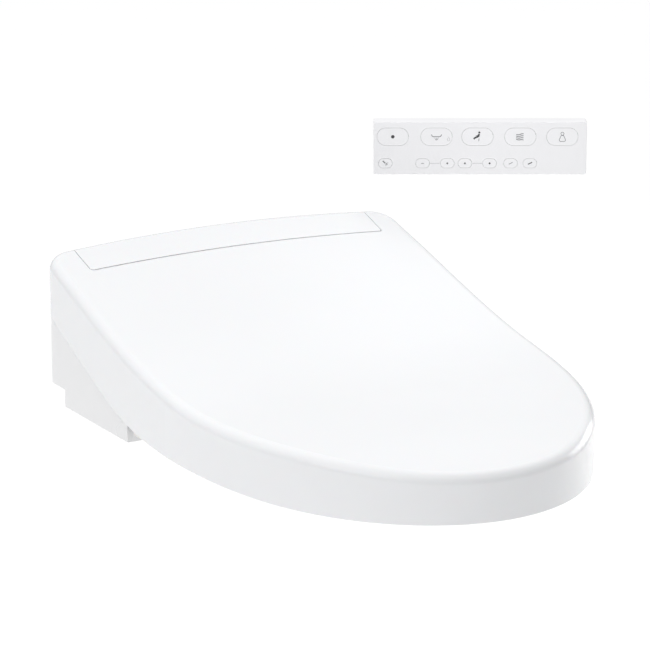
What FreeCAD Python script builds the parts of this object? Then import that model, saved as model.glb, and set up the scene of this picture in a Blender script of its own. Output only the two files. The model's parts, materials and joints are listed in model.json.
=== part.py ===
"""Electric bidet seat with its wall remote: one STEP per piece, in millimetres.

Frame: +X to the user's left-hand side when seated facing -Y, -Y towards the front tip, +Z up.
The origin is midway between the two bowl bolts, on the bowl's top plane (z = 0).
Lengths called t are measured forward from the rear edge of the lid, so y = BOLT_LINE - t.
"""
import FreeCAD, Part
import math
import os
from FreeCAD import Placement, Rotation, Vector

os.makedirs("parts", exist_ok=True)

# ---- overall shape -------------------------------------------------------------------------
DEPTH = 530.0  # rear edge to front tip
WIDTH = 374.0  # lid at its widest
WIDEST_AT = 262.5  # t of the widest place
REAR_TAPER = 14.6  # how much narrower the rear is than the widest place
REAR_SAG = 2.7  # the rear edge is this much further forward at its corners
REAR_CORNER = 24.0
BOLT_LINE = 75.0  # t of the two bowl bolts
BOLT_SPACING = 140.0
CREST = [153.8, 122.3, 93.8, 72.8, 62.5, 53.9, 43.4]  # lid height on the centre line, rear to front
CREST_START = -0.04  # first station, as a share of the depth
CREST_STEP = 0.18  # the stations' spacing, as a share of the depth
CROWN_REAR = 7.8  # how far the lid's top drops from its centre line to its side
CROWN_FRONT = 4.2
SEAM_REAR = [(-0.17, 95.5), (0.0, 85.2), (0.34, 64.2), (0.68, 41.4), (1.02, 21.9)]  # share of base depth
SEAM_FRONT = [(0.343, 10.4), (0.629, 4.6), (1.0, 1.9), (1.1, 1.8)]  # share of the way to the tip
EDGE_ROUND = 10.0  # lid's top edge
FAR = 400.0  # past every side, for cutting tools
OUT = -20.0  # behind and below every surface
OVER = 250.0  # above every surface
MICRO = 0.02  # a point this near a surface lies on it

# ---- lid -----------------------------------------------------------------------------------
LID_WALL = 3.0
LINER_DEPTH = 5.5  # liner's top face under the lid's top
LINER_THICK = 2.0
LINER_START = 62.0
EAR_WIDTH = 27.5  # from the panel's side to the lid's side at the rear
PANEL_SIDE_GAP = 0.7
PANEL_FRONT_GAP = 1.4
PANEL_DEPTH = 47.2
PANEL_CORNER = 4.0
OPEN_BACK = 9.0  # the lid's rear wall is cut away to this t behind each seat arm
BUMPER_R = 8.0
BUMPER_GAP = 0.3  # lid bumper to seat
BUMPER_SIDE = (34.8, 52.0)  # front lid bumpers in from the edge beside them, rear ones from the widest side

# ---- hinge axis, shared by seat and lid ------------------------------------------------------
HINGE_T = 13.0
HINGE_Z = 120.0
SHAFT_R = 4.0
SHAFT_BITE = 6.7  # how far a shaft reaches into the lid's boss
RUN_GAP = 0.05  # radial clearance of a shaft that turns in a bore
SIDE_HOLE_GAP = 0.3  # radial clearance where a shaft passes the rear panel's side
ARM_GAP = 3.0  # rear panel's side to a seat arm
ARM_THICK = 10.0
ARM_ROOT = 18.0  # the arm's foot reaches this far into the ring
EAR_SHELL = 4.0  # wall round the shaft in a seat arm
BOSS_SHELL = 5.0  # wall round the shaft in the lid's ear
BOSS_GAP = 0.8
DAMPER_SHELL = 3.6
DAMPER_LENGTH = 62.0
DAMPER_BITE = 28.0  # how far a shaft reaches into its damper
DAMPER_FOOT = (6.0, 4.0)  # reach forward and thickness of the damper's foot
HINGE_BLOCK = 14.0  # thickness along the axis
HINGE_BLOCK_T = (7.0, 16.0)  # behind and ahead of the axis
HINGE_BLOCK_Z = (26.0, 7.0)  # below and above the axis

# ---- seat ------------------------------------------------------------------------------------
SEAT_INSET = 9.0  # seat's edge inside the lid's edge
SEAT_GAP = 5.4  # base's front to the ring
SEAT_BAR = 33.0  # ring's width behind the opening
SEAT_SIDE = 74.0  # ring's width beside the opening
SEAT_TIP = 46.0  # ring's width in front of the opening
SEAT_BOTTOM = 9.0
SEAT_SPLIT = 17.0  # joint between the seat's two shells, outside the rear bar
SEAT_TOP = [(0.0, 51.0), (48.0, 45.0), (118.0, 38.5), (218.0, 34.5)]  # (ahead of the ring's rear, z)
SEAT_TOP_END = (10.0, 32.5)  # (past the lid's tip, z)
BAR_NOTCH_HALF = 115.0  # raised underside of the rear bar, over the wand and the dryer
BAR_NOTCH_Z = 24.0
BAR_NOTCH_DEPTH = 45.0
SEAT_OUTER_ROUND = 9.0
SEAT_INNER_ROUND = 11.0
SEAT_WALL = 4.0
HEATER_THICK = 0.8
HEATER_MARGIN = 3.0
HEATER_START = 40.0  # ahead of the ring's rear
SEAT_BUMPER_R = 9.0
SEAT_BUMPER_PEG = 3.0  # length of the peg that holds it in the seat
SEAT_BUMPER_SIDE = (39.0, 17.8)  # rear seat bumpers in from the widest side, front ones from the edge there
SEAT_BUMPER_AHEAD = (58.0, 110.0)  # of the ring's rear, and of the opening's centre

# ---- base ------------------------------------------------------------------------------------
BASE_DEPTH = 176.6
BASE_WALL = 3.0
BASE_INSET = 0.4  # base's rear inside the lid's outline
BASE_FLARE = 1.2  # base's side outside the lid's narrow rear
SEAM_GAP = 0.8
BASE_BOTTOM = 1.0
STEP_T = 49.0  # the rear of the base is stepped up behind this
STEP_Z = 17.0
FLOOR = 3.0
CASING_ROUND = 22.0
CASING_SIDE_ROUND = 8.0
CASING_BEND = 58.6  # the upper casing turns down this far behind the base's front
CASING_OVER = (77.0, 41.0)  # its bend and its front, above a height of one wand's thickness
CASING_REAR_Z = 110.0
POST_R = 4.5
SCREW_R = 1.5
SCREW_HOLE_GAP = 0.2
SCREW_HEAD_R = 3.4
SCREW_HEAD_HIGH = 1.8
SCREW_END = 22.0  # z of the screw's end
SCREW_CROSS = (2.2, 0.5)  # half length and half width of the cross drive
SCREW_SIDE = 21.5  # in from the rear panel's side
SCREW_REAR_T = 62.0
SCREW_FRONT = 12.6  # front screws, behind the base's front
FOOT_R = 9.0
FOOT_SINK = 1.5
FOOT_SIDE = 1.5  # in from the rear panel's side
FOOT_REAR_T = 62.0
FOOT_FRONT = 26.6  # front feet, behind the base's front

# ---- release button --------------------------------------------------------------------------
BUTTON_T = 108.0
BUTTON_Z = 15.0
BUTTON_SIZE = (22.0, 9.0)
BUTTON_THICK = 3.5
BUTTON_ROUND = 0.8
BUTTON_STEM_R = 3.0
BUTTON_GAP = 0.4
SPRING_LENGTH = 14.0
SPRING_WALL = 1.2

# ---- bracket -----------------------------------------------------------------------------------
PLATE_HALF = 104.0
PLATE_T = (52.0, 118.0)
PLATE_THICK = 3.0
PLATE_CORNER = 6.0
RAIL_REACH = 6.0  # rails beyond the plate's sides
RAIL_Z = (4.0, 7.5)
RAIL_INSET = 6.0  # rails are this much shorter than the plate at each end
RAIL_WEB = 3.0
SLIDE_GAP = 0.5
BOLT_SLOT_R = 4.5
BOLT_SLOT_LENGTH = 40.0
HEAD_ROOM = 14.0  # the base's underside above the bolt heads

# ---- wash wand ---------------------------------------------------------------------------------
WAND_R = 8.0
WAND_LENGTH = 140.0
WAND_ANGLE = 35.0  # degrees below level
WAND_BACK = 8.6  # wand's tip behind the base's front
TIP_Z = 10.0
TIP_LENGTH = 14.0
TIP_ROUND = 2.5
SPIGOT = (3.9, 8.0)  # radius and length of the tip's spigot in the wand
SPRAY_R = 1.2
WAND_BORE_R = 4.0
NIPPLE = (2.5, 7.0)
RACK_RISE = 2.0  # rack's pitch line above the top of the wand
RACK_HALF = 3.0
RACK_TEETH = 38
GEAR_MODULE = 1.0
GEAR_TEETH = 16
GEAR_HUB_R = 4.0
GEAR_BORE_R = 1.5
PINION_S = 22.0  # pinion's place along the wand, back from the tip
GEAR_BACKLASH = 0.35
WAND_MOTOR_R = 10.0
WAND_MOTOR_X = (11.6, 27.0)
WAND_PORT_GAP = 0.8
GUIDE_GAP = 0.35
GUIDE_WALL = 2.65
GUIDE_LEG = (92.6, 80.6)  # behind the base's front

# ---- dryer -------------------------------------------------------------------------------------
FAN_X = 92.0
FAN_T = 92.0
FAN_Z = (21.0, 49.0)
WHEEL_R = 26.0
VOLUTE_R = 32.0
FAN_WALL = 1.6
FAN_INLET_R = 17.0
BLADES = 24
BLADE_DEEP = 5.5
BLADE_LEAN = 35.0
DRYER_MOTOR = (12.0, 20.0)  # radius and height
SPIDER = (22.0, 3.0, 2.0)  # reach, half width and thickness of the motor's cross
DUCT_X = (54.0, 96.0)
DUCT_OUT_Z = (5.0, 21.0)
DUCT_SHOULDER = 6.0  # the duct stays full height for this far
DUCT_TURN = 26.6  # its floor is level from this far behind the base's front
DRYER_HEATER_T = 14.0
HEATER_CELL = (4.5, 6.0)  # width and spacing of the heater's cells
FLAP_THICK = 1.6
FLAP_GAP = 0.5
FLAP_ROLL_R = 1.1
FLAP_PIVOT = (0.6, 1.6)  # radius and length

# ---- water -------------------------------------------------------------------------------------
INLET_SIDE = 29.7  # inlet's axis in from the rear's side
INLET_T = 25.0
INLET_R = 10.45  # outside of a half-inch pipe thread
INLET_LENGTH = 14.0
INLET_BORE_R = 4.2
INLET_NECK_R = 5.9
INLET_HOLE_R = 6.0
INLET_FLANGE = (12.0, 3.0)
WATER_RISE = 12.0  # water line above the base's step
VALVE_REACH = 12.0  # inlet's axis to the valve
VALVE_SIZE = 24.0
VALVE_HIGH = 19.0
VALVE_CORE_R = 4.5
COIL = (10.5, 20.0)  # radius and height
TUBE_R = 3.5
TUBE_BEND = 12.0
NIPPLE_REACH = 10.0
TANK_X = (-112.0, -42.0)
TANK_T = (62.0, 126.0)
TANK_Z = (24.0, 72.0)
TANK_WALL = 2.5
TANK_CORNER = 6.0
TANK_PORT = 45.0  # ports in from the tank's outer side
TANK_PORT_R = 4.0
TANK_OUT_Z = 60.0
ELEMENT_R = 3.0
ELEMENT_INSET = 14.0
ELEMENT_PLUG_R = 9.0
PUMP_GAP = 8.0  # pump to tank
PUMP_SIZE = (22.0, 26.0, 24.0)
PUMP_T = 76.0
PUMP_Z = 22.0
PUMP_MOTOR = (10.5, 30.0)

# ---- electronics -------------------------------------------------------------------------------
BOARD_THICK = 1.6
CONTROL_X = (30.0, 128.0)
CONTROL_T = 50.0
CONTROL_Z = (58.0, 100.0)
CONTROL_PARTS = [  # (x, z, height off the board)
    ((50.0, 64.0), (70.0, 84.0), 2.0),
    ((84.0, 104.0), (64.0, 76.0), 6.0),
    ((110.0, 120.0), (84.0, 96.0), 4.0),
    ((34.0, 44.0), (88.0, 96.0), 4.0),
]
POWER_X = (-130.0, -50.0)
POWER_T = (8.0, 46.0)
POWER_Z = 84.0
POWER_PARTS = [  # (x, t, height above the board)
    ((-126.0, -102.0), (14.0, 38.0), 18.4),
    ((-76.0, -56.0), (10.0, 30.0), 13.4),
    ((-96.0, -80.0), (34.0, 42.0), 10.4),
]
CAPACITOR = (-90.0, 20.0, 6.5, 16.4)  # x, t, radius, height above the board
GLAND_SIDE = 31.5  # in from the rear panel's side
GLAND_Z = 45.0
GLAND_COLLAR = (9.0, 3.0)
GLAND_NECK_R = 6.9
GLAND_HOLE_R = 7.0
GLAND_LENGTH = 8.0
CORD_BORE_R = 3.6

# ---- remote ------------------------------------------------------------------------------------
REMOTE_X = 290.0
REMOTE_Y = 80.0
REMOTE_Z = 181.0
REMOTE_YAW = -29.0
REMOTE_WIDE = 205.0
REMOTE_HIGH = 51.7
REMOTE_DEEP = 18.0
REMOTE_WALL = 1.8
REMOTE_SPLIT = 9.0
REMOTE_ROUND = 2.0
REMOTE_EDGE = 1.0
TOP_KEYS = {
    "stop_key": -84.0,
    "rear_wash_key": -42.0,
    "front_wash_key": -2.6,
    "dryer_key": 38.6,
    "user_key": 79.0,
}
TOP_KEY_V = 11.3
TOP_KEY_SIZE = (30.0, 17.0)
LOW_KEYS = {
    "nozzle_clean_key": -91.0,
    "pressure_down_key": -55.2,
    "pressure_up_key": -31.4,
    "position_back_key": -14.5,
    "position_forward_key": 9.3,
    "temperature_down_key": 29.5,
    "temperature_up_key": 48.1,
}
LOW_KEY_V = -14.9
LOW_KEY_SIZE = (13.0, 9.0)
KEY_GAP = 0.2
KEY_THICK = 2.6
KEY_STEM = (1.5, 0.5)  # radius and length
REMOTE_BOARD = (192.0, 44.0, 1.2)
REMOTE_BOARD_D = 4.0  # behind the face
CELL_R = 5.2
CELL_LENGTH = 44.5
CELL_CAP = (1.9, 1.0)
CELL_PITCH = 13.0
BAY_U = (-92.0, -40.0)
BAY_HALF = 13.5
BAY_RIM = 1.0
COVER_THICK = 1.6
COVER_GAP = 0.3
COVER_TAIL = 9.0
GRIPS = (-90.0, -87.0, -84.0)
HOOK_BACK = 5.8  # hook's front face, in from the remote's back
HOOK_THICK = 3.0
HOOK_HALF = 14.0
HOOK_STEM_HALF = 9.0
HOOK_TOP = 16.0
HOOK_GAP = 0.4
HOOK_GUARD = 2.2
CRADLE_GAP = 0.5
CRADLE_THICK = 2.5
CRADLE_SIZE = (80.0, 40.0)
CRADLE_CORNER = 5.0
CRADLE_SCREW_R = 2.2
CRADLE_SCREW_U = 30.0

# ---- values worked out from the ones above -------------------------------------------------------
HALF = WIDTH / 2
REAR_HALF = HALF - REAR_TAPER / 2
BASE_HALF = REAR_HALF + BASE_FLARE
PANEL_HALF = REAR_HALF - EAR_WIDTH - PANEL_SIDE_GAP
CUT_HALF = PANEL_HALF + PANEL_SIDE_GAP
ARM_X = (PANEL_HALF + ARM_GAP, PANEL_HALF + ARM_GAP + ARM_THICK)
ARM_EAR_R = SHAFT_R + EAR_SHELL
BOSS_X = ARM_X[1] + BOSS_GAP
SHAFT_END = BOSS_X + SHAFT_BITE
DAMPER_R = SHAFT_R + DAMPER_SHELL
DAMPER_END = PANEL_HALF - BASE_WALL - HINGE_BLOCK
SEAT_REAR = BASE_DEPTH + SEAT_GAP
OPENING_LONG = (DEPTH - SEAT_INSET - SEAT_TIP - SEAT_REAR - SEAT_BAR) / 2
OPENING_WIDE = HALF - SEAT_INSET - SEAT_SIDE
OPENING_AT = SEAT_REAR + SEAT_BAR + OPENING_LONG  # t of the seat opening's centre
FRONT_PADS_T = OPENING_AT + SEAT_BUMPER_AHEAD[1]
PADS_SHARE = (FRONT_PADS_T - WIDEST_AT) / (DEPTH - WIDEST_AT)
FRONT_PADS_HALF = HALF * math.sqrt(1 - PADS_SHARE**2)  # the lid's half width at its front pads
BUMPER_SPOTS = [
    (FRONT_PADS_HALF - BUMPER_SIDE[0], FRONT_PADS_T),
    (HALF - BUMPER_SIDE[1], OPENING_AT - 2 * BUMPER_R),
]
SEAT_BUMPER_SPOTS = [
    (HALF - SEAT_BUMPER_SIDE[0], SEAT_REAR + SEAT_BUMPER_AHEAD[0]),
    (FRONT_PADS_HALF - SEAT_BUMPER_SIDE[1], FRONT_PADS_T),
]
BEND_Z, FRONT_Z = [2 * WAND_R + over for over in CASING_OVER]
CASING_TOP = [(PANEL_DEPTH, CASING_REAR_Z), (BASE_DEPTH - CASING_BEND, BEND_Z), (BASE_DEPTH, FRONT_Z)]
SCREW_X = PANEL_HALF - SCREW_SIDE
SCREW_SPOTS = [(SCREW_X, SCREW_REAR_T), (SCREW_X, BASE_DEPTH - SCREW_FRONT)]
FOOT_X = PANEL_HALF - FOOT_SIDE
FOOT_SPOTS = [(FOOT_X, FOOT_REAR_T), (FOOT_X, BASE_DEPTH - FOOT_FRONT)]
PITCH_R = GEAR_MODULE * GEAR_TEETH / 2
PITCH = math.pi * GEAR_MODULE
RACK_PITCH_H = WAND_R + RACK_RISE  # rack's pitch line above the wand's axis
TIP_T = BASE_DEPTH - WAND_BACK
SIN = math.sin(math.radians(WAND_ANGLE))
COS = math.cos(math.radians(WAND_ANGLE))
DUCT_T = (FAN_T + VOLUTE_R + 2.0, BASE_DEPTH - BASE_WALL)
INLET_X = REAR_HALF - INLET_SIDE
WATER_Z = STEP_Z + WATER_RISE
VALVE_X = (INLET_X - VALVE_REACH - VALVE_SIZE, INLET_X - VALVE_REACH)
TANK_PORT_X = TANK_X[0] + TANK_PORT
PUMP_X = TANK_X[0] - PUMP_GAP - PUMP_SIZE[0] / 2
PUMP_MID_Z = PUMP_Z + PUMP_SIZE[2] / 2
GLAND_X = -PANEL_HALF + GLAND_SIDE
COVER_D = (REMOTE_DEEP - COVER_THICK, REMOTE_DEEP)
HOOK_D = (REMOTE_DEEP - HOOK_BACK, REMOTE_DEEP - HOOK_BACK + HOOK_THICK)
CELL_D = COVER_D[0] - CELL_R - 0.6

NODES = {}


# ---- helpers -------------------------------------------------------------------------------------
def at(x, t, z):
    return Vector(x, BOLT_LINE - t, z)


def block(x, t, z):
    """Box between two values along each of x, t and z."""
    corner = at(min(x), max(t), min(z))
    return Part.makeBox(abs(x[1] - x[0]), abs(t[1] - t[0]), abs(z[1] - z[0]), corner)


def rod(start, end, r):
    a = at(*start)
    b = at(*end)
    return Part.makeCylinder(r, (b - a).Length, a, b - a)


def slab(points, x):
    """Side-view outline (t, z) given thickness between two x values."""
    wire = Part.makePolygon([at(x[0], t, z) for t, z in points + points[:1]])
    return Part.Face(wire).extrude(Vector(x[1] - x[0], 0, 0))


def mirrored(shape):
    return shape.mirror(Vector(0, 0, 0), Vector(1, 0, 0))


def pair(shape):
    return Part.makeCompound([shape, mirrored(shape)])


def fuse(first, *others):
    return first.multiFuse(list(others)).removeSplitter()


def cut(first, *others):
    return first.cut(list(others))


def edges_where(shape, test):
    """Edges whose middle point passes the test."""
    found = []
    for edge in shape.Edges:
        middle = edge.valueAt((edge.FirstParameter + edge.LastParameter) / 2)
        if test(middle):
            found.append(edge)
    return found


def t_of(point):
    return BOLT_LINE - point.y


def middle_of(low, high):
    return (low + high) / 2


def keep(name, shape):
    NODES[name] = shape


# ---- outer shape shared by the lid, the base and the rear panel ------------------------------------
def bezier(*points):
    curve = Part.BezierCurve()
    curve.setPoles(list(points))
    return curve.toShape()


def outline_prism(inset, z0, z1):
    """Upright prism on the lid's plan outline, moved inwards by inset."""
    side = HALF - inset
    rear_side = REAR_HALF - inset
    tip = DEPTH - inset
    corner = inset + REAR_SAG
    mid_t = (corner + WIDEST_AT) / 2
    right = bezier(at(rear_side, corner, z0), at(side, mid_t, z0), at(side, WIDEST_AT, z0))
    left = bezier(at(-side, WIDEST_AT, z0), at(-side, mid_t, z0), at(-rear_side, corner, z0))
    back = bezier(at(-rear_side, corner, z0), at(0, inset - REAR_SAG, z0), at(rear_side, corner, z0))
    centre = at(0, WIDEST_AT, z0)
    if tip - WIDEST_AT > side:
        ellipse = Part.Ellipse(at(0, tip, z0), at(side, WIDEST_AT, z0), centre)
        nose = Part.ArcOfEllipse(ellipse, -math.pi / 2, math.pi / 2)
    else:
        ellipse = Part.Ellipse(at(-side, WIDEST_AT, z0), at(0, tip, z0), centre)
        nose = Part.ArcOfEllipse(ellipse, 0, math.pi)
    wire = Part.Wire(Part.__sortEdges__([right, nose.toShape(), left, back]))
    prism = Part.Face(wire).extrude(Vector(0, 0, z1 - z0))
    middle = (z0 + z1) / 2
    corners = edges_where(prism, lambda p: abs(p.z - middle) < 1 and t_of(p) < corner + 1)
    return prism.makeFillet(REAR_CORNER - inset, corners)


def top_surface(drop):
    rows = []
    for n, height in enumerate(CREST):
        share = CREST_START + n * CREST_STEP
        crown = CROWN_REAR + (CROWN_FRONT - CROWN_REAR) * share
        row = []
        for k in range(-3, 4):
            across = k * 0.4
            row.append(at(across * HALF, share * DEPTH, height - crown * across**2 - drop))
        rows.append(row)
    surface = Part.BSplineSurface()
    surface.interpolate(rows)
    return surface


def under_top(drop=0.0):
    return top_surface(drop).toShape().extrude(Vector(0, 0, -FAR))


def below_line(points, low):
    """Everything below a smooth side-view line through points (t, z), down to low."""
    ends = [at(-FAR, *points[0]), at(-FAR, *points[-1])]
    line = Part.BSplineCurve()
    line.interpolate([at(-FAR, t, z) for t, z in points])
    feet = [Vector(p.x, p.y, low) for p in ends]
    edges = [
        line.toShape(),
        Part.makeLine(ends[1], feet[1]),
        Part.makeLine(feet[1], feet[0]),
        Part.makeLine(feet[0], ends[0]),
    ]
    return Part.Face(Part.Wire(edges)).extrude(Vector(2 * FAR, 0, 0))


def below_seam(drop=0.0):
    start = SEAM_REAR[-1][0] * BASE_DEPTH
    points = [(share * BASE_DEPTH, z) for share, z in SEAM_REAR]
    points += [(start + share * (DEPTH - start), z) for share, z in SEAM_FRONT]
    return below_line([(t, z - drop) for t, z in points], -FAR)


def rounded_top(inset, drop, radius):
    """Everything under the lid's top, inside its outline, with the top edge rounded."""
    surface = top_surface(drop).toShape()
    body = outline_prism(inset, OUT, OVER).common(under_top(drop))
    edges = edges_where(body, lambda p: surface.distToShape(Part.Vertex(p))[0] < MICRO)
    return body.makeFillet(radius, edges)


def rear_box(half, front, radius):
    """Box from behind the rear edge to front, with its two front corners rounded."""
    space = block((-half, half), (OUT, front), (OUT, OVER))
    middle = (OUT + OVER) / 2
    corners = edges_where(space, lambda p: abs(p.z - middle) < 1 and abs(t_of(p) - front) < 1)
    return space.makeFillet(radius, corners)


def on_hinge(x0, x1, r):
    """Rod on the hinge axis."""
    return rod((x0, HINGE_T, HINGE_Z), (x1, HINGE_T, HINGE_Z), r)


OUTER = rounded_top(0.0, 0.0, EDGE_ROUND)
INNER = rounded_top(LID_WALL, LID_WALL, EDGE_ROUND - LID_WALL)
SEAM = below_seam()
BASE_SEAM = below_seam(SEAM_GAP)


# ---- lid -----------------------------------------------------------------------------------------
def lid_shell():
    panel_space = rear_box(CUT_HALF, PANEL_DEPTH + PANEL_FRONT_GAP, PANEL_CORNER)
    shell = cut(OUTER, INNER, SEAM, panel_space)
    open_back = block((CUT_HALF - 1, BOSS_X), (OUT, OPEN_BACK), (0, HINGE_Z + ARM_EAR_R))
    shell = cut(shell, pair(open_back))
    boss = on_hinge(BOSS_X, HALF, SHAFT_R + BOSS_SHELL).common(OUTER)
    shell = shell.fuse([boss, mirrored(boss)]).removeSplitter()
    bore = on_hinge(BOSS_X - 1, SHAFT_END + 0.5, SHAFT_R)
    run_bore = on_hinge(-BOSS_X + 1, -SHAFT_END - 0.5, SHAFT_R + RUN_GAP)
    return cut(shell, bore, run_bore)


def lid_liner():
    sheet = under_top(LINER_DEPTH).cut(under_top(LINER_DEPTH + LINER_THICK))
    sheet = sheet.common(outline_prism(LID_WALL, OUT, OVER)).common(INNER)
    return cut(sheet, block((-FAR, FAR), (OUT, LINER_START), (OUT, OVER)))


def lid_bumpers():
    pads = []
    space = under_top(LINER_DEPTH + LINER_THICK).cut(seat_tool(BUMPER_GAP))
    for x, t in BUMPER_SPOTS:
        pad = rod((x, t, SEAT_SPLIT), (x, t, OVER), BUMPER_R).common(space)
        pad = max(pad.Solids, key=lambda s: s.BoundBox.ZMax)
        pads += [pad, mirrored(pad)]
    return Part.makeCompound(pads)


# ---- seat ----------------------------------------------------------------------------------------
def seat_tool(raise_by=0.0):
    """Everything below the seat's top surface, ahead of the ring's rear."""
    points = [(SEAT_REAR + ahead, z + raise_by) for ahead, z in SEAT_TOP]
    points.append((DEPTH + SEAT_TOP_END[0], SEAT_TOP_END[1] + raise_by))
    return below_line(points, OUT - 30)


def opening(grow, z0, z1):
    long = at(0, OPENING_AT + OPENING_LONG + grow, z0)
    wide = at(OPENING_WIDE + grow, OPENING_AT, z0)
    ends = (long, wide) if OPENING_LONG > OPENING_WIDE else (wide, long)
    ellipse = Part.Ellipse(*ends, at(0, OPENING_AT, z0))
    return Part.Face(Part.Wire([ellipse.toShape()])).extrude(Vector(0, 0, z1 - z0))


def ring(shrink, z0, top_drop):
    """The seat's ring, made smaller on every side by shrink."""
    body = outline_prism(SEAT_INSET + shrink, z0, 90)
    body = cut(body, block((-FAR, FAR), (OUT, SEAT_REAR + shrink), (OUT, OVER)))
    return cut(body, opening(shrink, OUT, 100)).common(seat_tool(-top_drop))


def bar_notch(grow=0.0):
    half = BAR_NOTCH_HALF + grow
    return block((-half, half), (SEAT_REAR - 5, SEAT_REAR + BAR_NOTCH_DEPTH + grow), (0, BAR_NOTCH_Z + grow))


def rounded_ring():
    body = ring(0.0, SEAT_BOTTOM, 0.0)
    shown = [f for f in seat_tool().Faces if f.BoundBox.ZMax > BAR_NOTCH_Z and f.BoundBox.YLength > 100]
    face = min(shown, key=lambda f: f.BoundBox.ZLength)
    wall = max(opening(0.0, OUT, 100).Faces, key=lambda f: f.BoundBox.ZLength)
    island = opening(SEAT_INNER_ROUND + 4, OUT, 100)

    def is_top(point):
        return face.distToShape(Part.Vertex(point))[0] < MICRO

    def is_inner(point):
        return is_top(point) and wall.distToShape(Part.Vertex(point))[0] < MICRO

    body = body.makeFillet(SEAT_INNER_ROUND, edges_where(body, is_inner))
    outer = edges_where(body, lambda p: is_top(p) and not island.isInside(p, 0.01, True))
    return body.makeFillet(SEAT_OUTER_ROUND, outer)


def arm():
    """One seat arm, from the ring up to the hinge axis, on the +X side."""
    r = ARM_EAR_R
    root = SEAT_REAR + ARM_ROOT
    top = SEAT_TOP[0][1]
    points = [
        (HINGE_T, HINGE_Z - r),
        (SEAT_REAR, SEAT_SPLIT + 6),
        (root, SEAT_SPLIT + 1),
        (root, top - 9),
        (SEAT_REAR, top - 1),
        (HINGE_T + 4, HINGE_Z + r - 0.8),
        (HINGE_T, HINGE_Z + r),
    ]
    return slab(points, ARM_X).fuse(on_hinge(*ARM_X, r)).removeSplitter()


def seat_top():
    shell = cut(rounded_ring(), bar_notch(), block((-FAR, FAR), (0, FAR * 2), (0, SEAT_SPLIT)))
    hollow = cut(ring(SEAT_WALL, SEAT_SPLIT - 1, SEAT_WALL), bar_notch(SEAT_WALL))
    shell = cut(shell, hollow)
    shell = shell.fuse([arm(), mirrored(arm())]).removeSplitter()
    bore = on_hinge(ARM_X[0] - 1, ARM_X[1] + 1, SHAFT_R + RUN_GAP)
    pressed = on_hinge(-ARM_X[0] + 1, -ARM_X[1] - 1, SHAFT_R)
    return cut(shell, bore, pressed)


def seat_bottom():
    above = block((-FAR, FAR), (0, FAR * 2), (SEAT_SPLIT, OVER))
    plate = cut(ring(0.0, SEAT_BOTTOM, 0.0), bar_notch(), above)
    hollow = cut(ring(SEAT_WALL, SEAT_BOTTOM + SEAT_WALL, 0.0), bar_notch(SEAT_WALL))
    plate = cut(plate, hollow)
    top = SEAT_BOTTOM + SEAT_BUMPER_PEG
    holes = [rod((x, t, 0), (x, t, top), SEAT_BUMPER_R / 2) for x, t in SEAT_BUMPER_SPOTS]
    return cut(plate, *[pair(hole) for hole in holes])


def seat_heater():
    margin = SEAT_WALL + HEATER_MARGIN
    foil = ring(margin, SEAT_SPLIT + 2, SEAT_WALL).cut(seat_tool(-SEAT_WALL - HEATER_THICK))
    return cut(foil, bar_notch(margin), block((-FAR, FAR), (0, SEAT_REAR + HEATER_START), (0, OVER)))


def seat_bumpers():
    pads = []
    for x, t in SEAT_BUMPER_SPOTS:
        pad = rod((x, t, 0), (x, t, SEAT_BOTTOM), SEAT_BUMPER_R)
        pad = pad.makeFillet(2.0, edges_where(pad, lambda p: p.z < 0.1))
        peg = rod((x, t, SEAT_BOTTOM - 1), (x, t, SEAT_BOTTOM + SEAT_BUMPER_PEG), SEAT_BUMPER_R / 2)
        pad = pad.fuse(peg).removeSplitter()
        pads += [pad, mirrored(pad)]
    return Part.makeCompound(pads)


# ---- base ----------------------------------------------------------------------------------------
def bracket_space(grow):
    """Room in the base for the bracket and the bolt heads, open to the rear."""
    t = (STEP_T - 10, PLATE_T[1] + grow + 1.5)
    plate = block((-PLATE_HALF - grow, PLATE_HALF + grow), t, (-5, HEAD_ROOM + grow))
    reach = PLATE_HALF + RAIL_REACH + grow
    rails = block((-reach, reach), t, (RAIL_Z[0] - grow, RAIL_Z[1] + grow))
    return plate.fuse(rails).removeSplitter()


def wand_at(x, s, h):
    """Point by distance s back from the wand's tip along its axis, and height h above the axis."""
    return (x, TIP_T - s * COS + h * SIN, TIP_Z + s * SIN + h * COS)


def wand_rod(s0, s1, r, h=0.0):
    return rod(wand_at(0, s0, h), wand_at(0, s1, h), r)


def wand_block(x, s, h):
    """Box in the wand's own tilted directions."""
    corners = [(s[0], h[0]), (s[1], h[0]), (s[1], h[1]), (s[0], h[1])]
    return slab([wand_at(0, a, b)[1:] for a, b in corners], x)


def base_body():
    body = outline_prism(BASE_INSET, BASE_BOTTOM, OVER)
    body = body.common(block((-BASE_HALF, BASE_HALF), (OUT, BASE_DEPTH), (0, OVER))).common(BASE_SEAM)
    return cut(body, block((-FAR, FAR), (OUT, STEP_T), (OUT, STEP_Z)))


def base_hollow():
    inside = BASE_HALF - BASE_WALL
    panel_inside = PANEL_HALF - BASE_WALL
    front = BASE_DEPTH - BASE_WALL
    hollow = outline_prism(BASE_INSET + BASE_WALL, OUT, OVER)
    hollow = hollow.common(block((-inside, inside), (OUT, front), (0, OVER)))
    top_way = block((-panel_inside, panel_inside), (0, front), (0, OVER))
    hollow = hollow.common(below_seam(SEAM_GAP + BASE_WALL).fuse(top_way))
    rails = PLATE_HALF + RAIL_REACH + 4
    return cut(
        hollow,
        block((-FAR, FAR), (OUT, FAR), (OUT, BASE_BOTTOM + FLOOR)),
        block((-FAR, FAR), (OUT, STEP_T + FLOOR), (OUT, STEP_Z + FLOOR)),
        block((-rails, rails), (0, PLATE_T[1] + 6), (OUT, STEP_Z + FLOOR)),
    )


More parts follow.
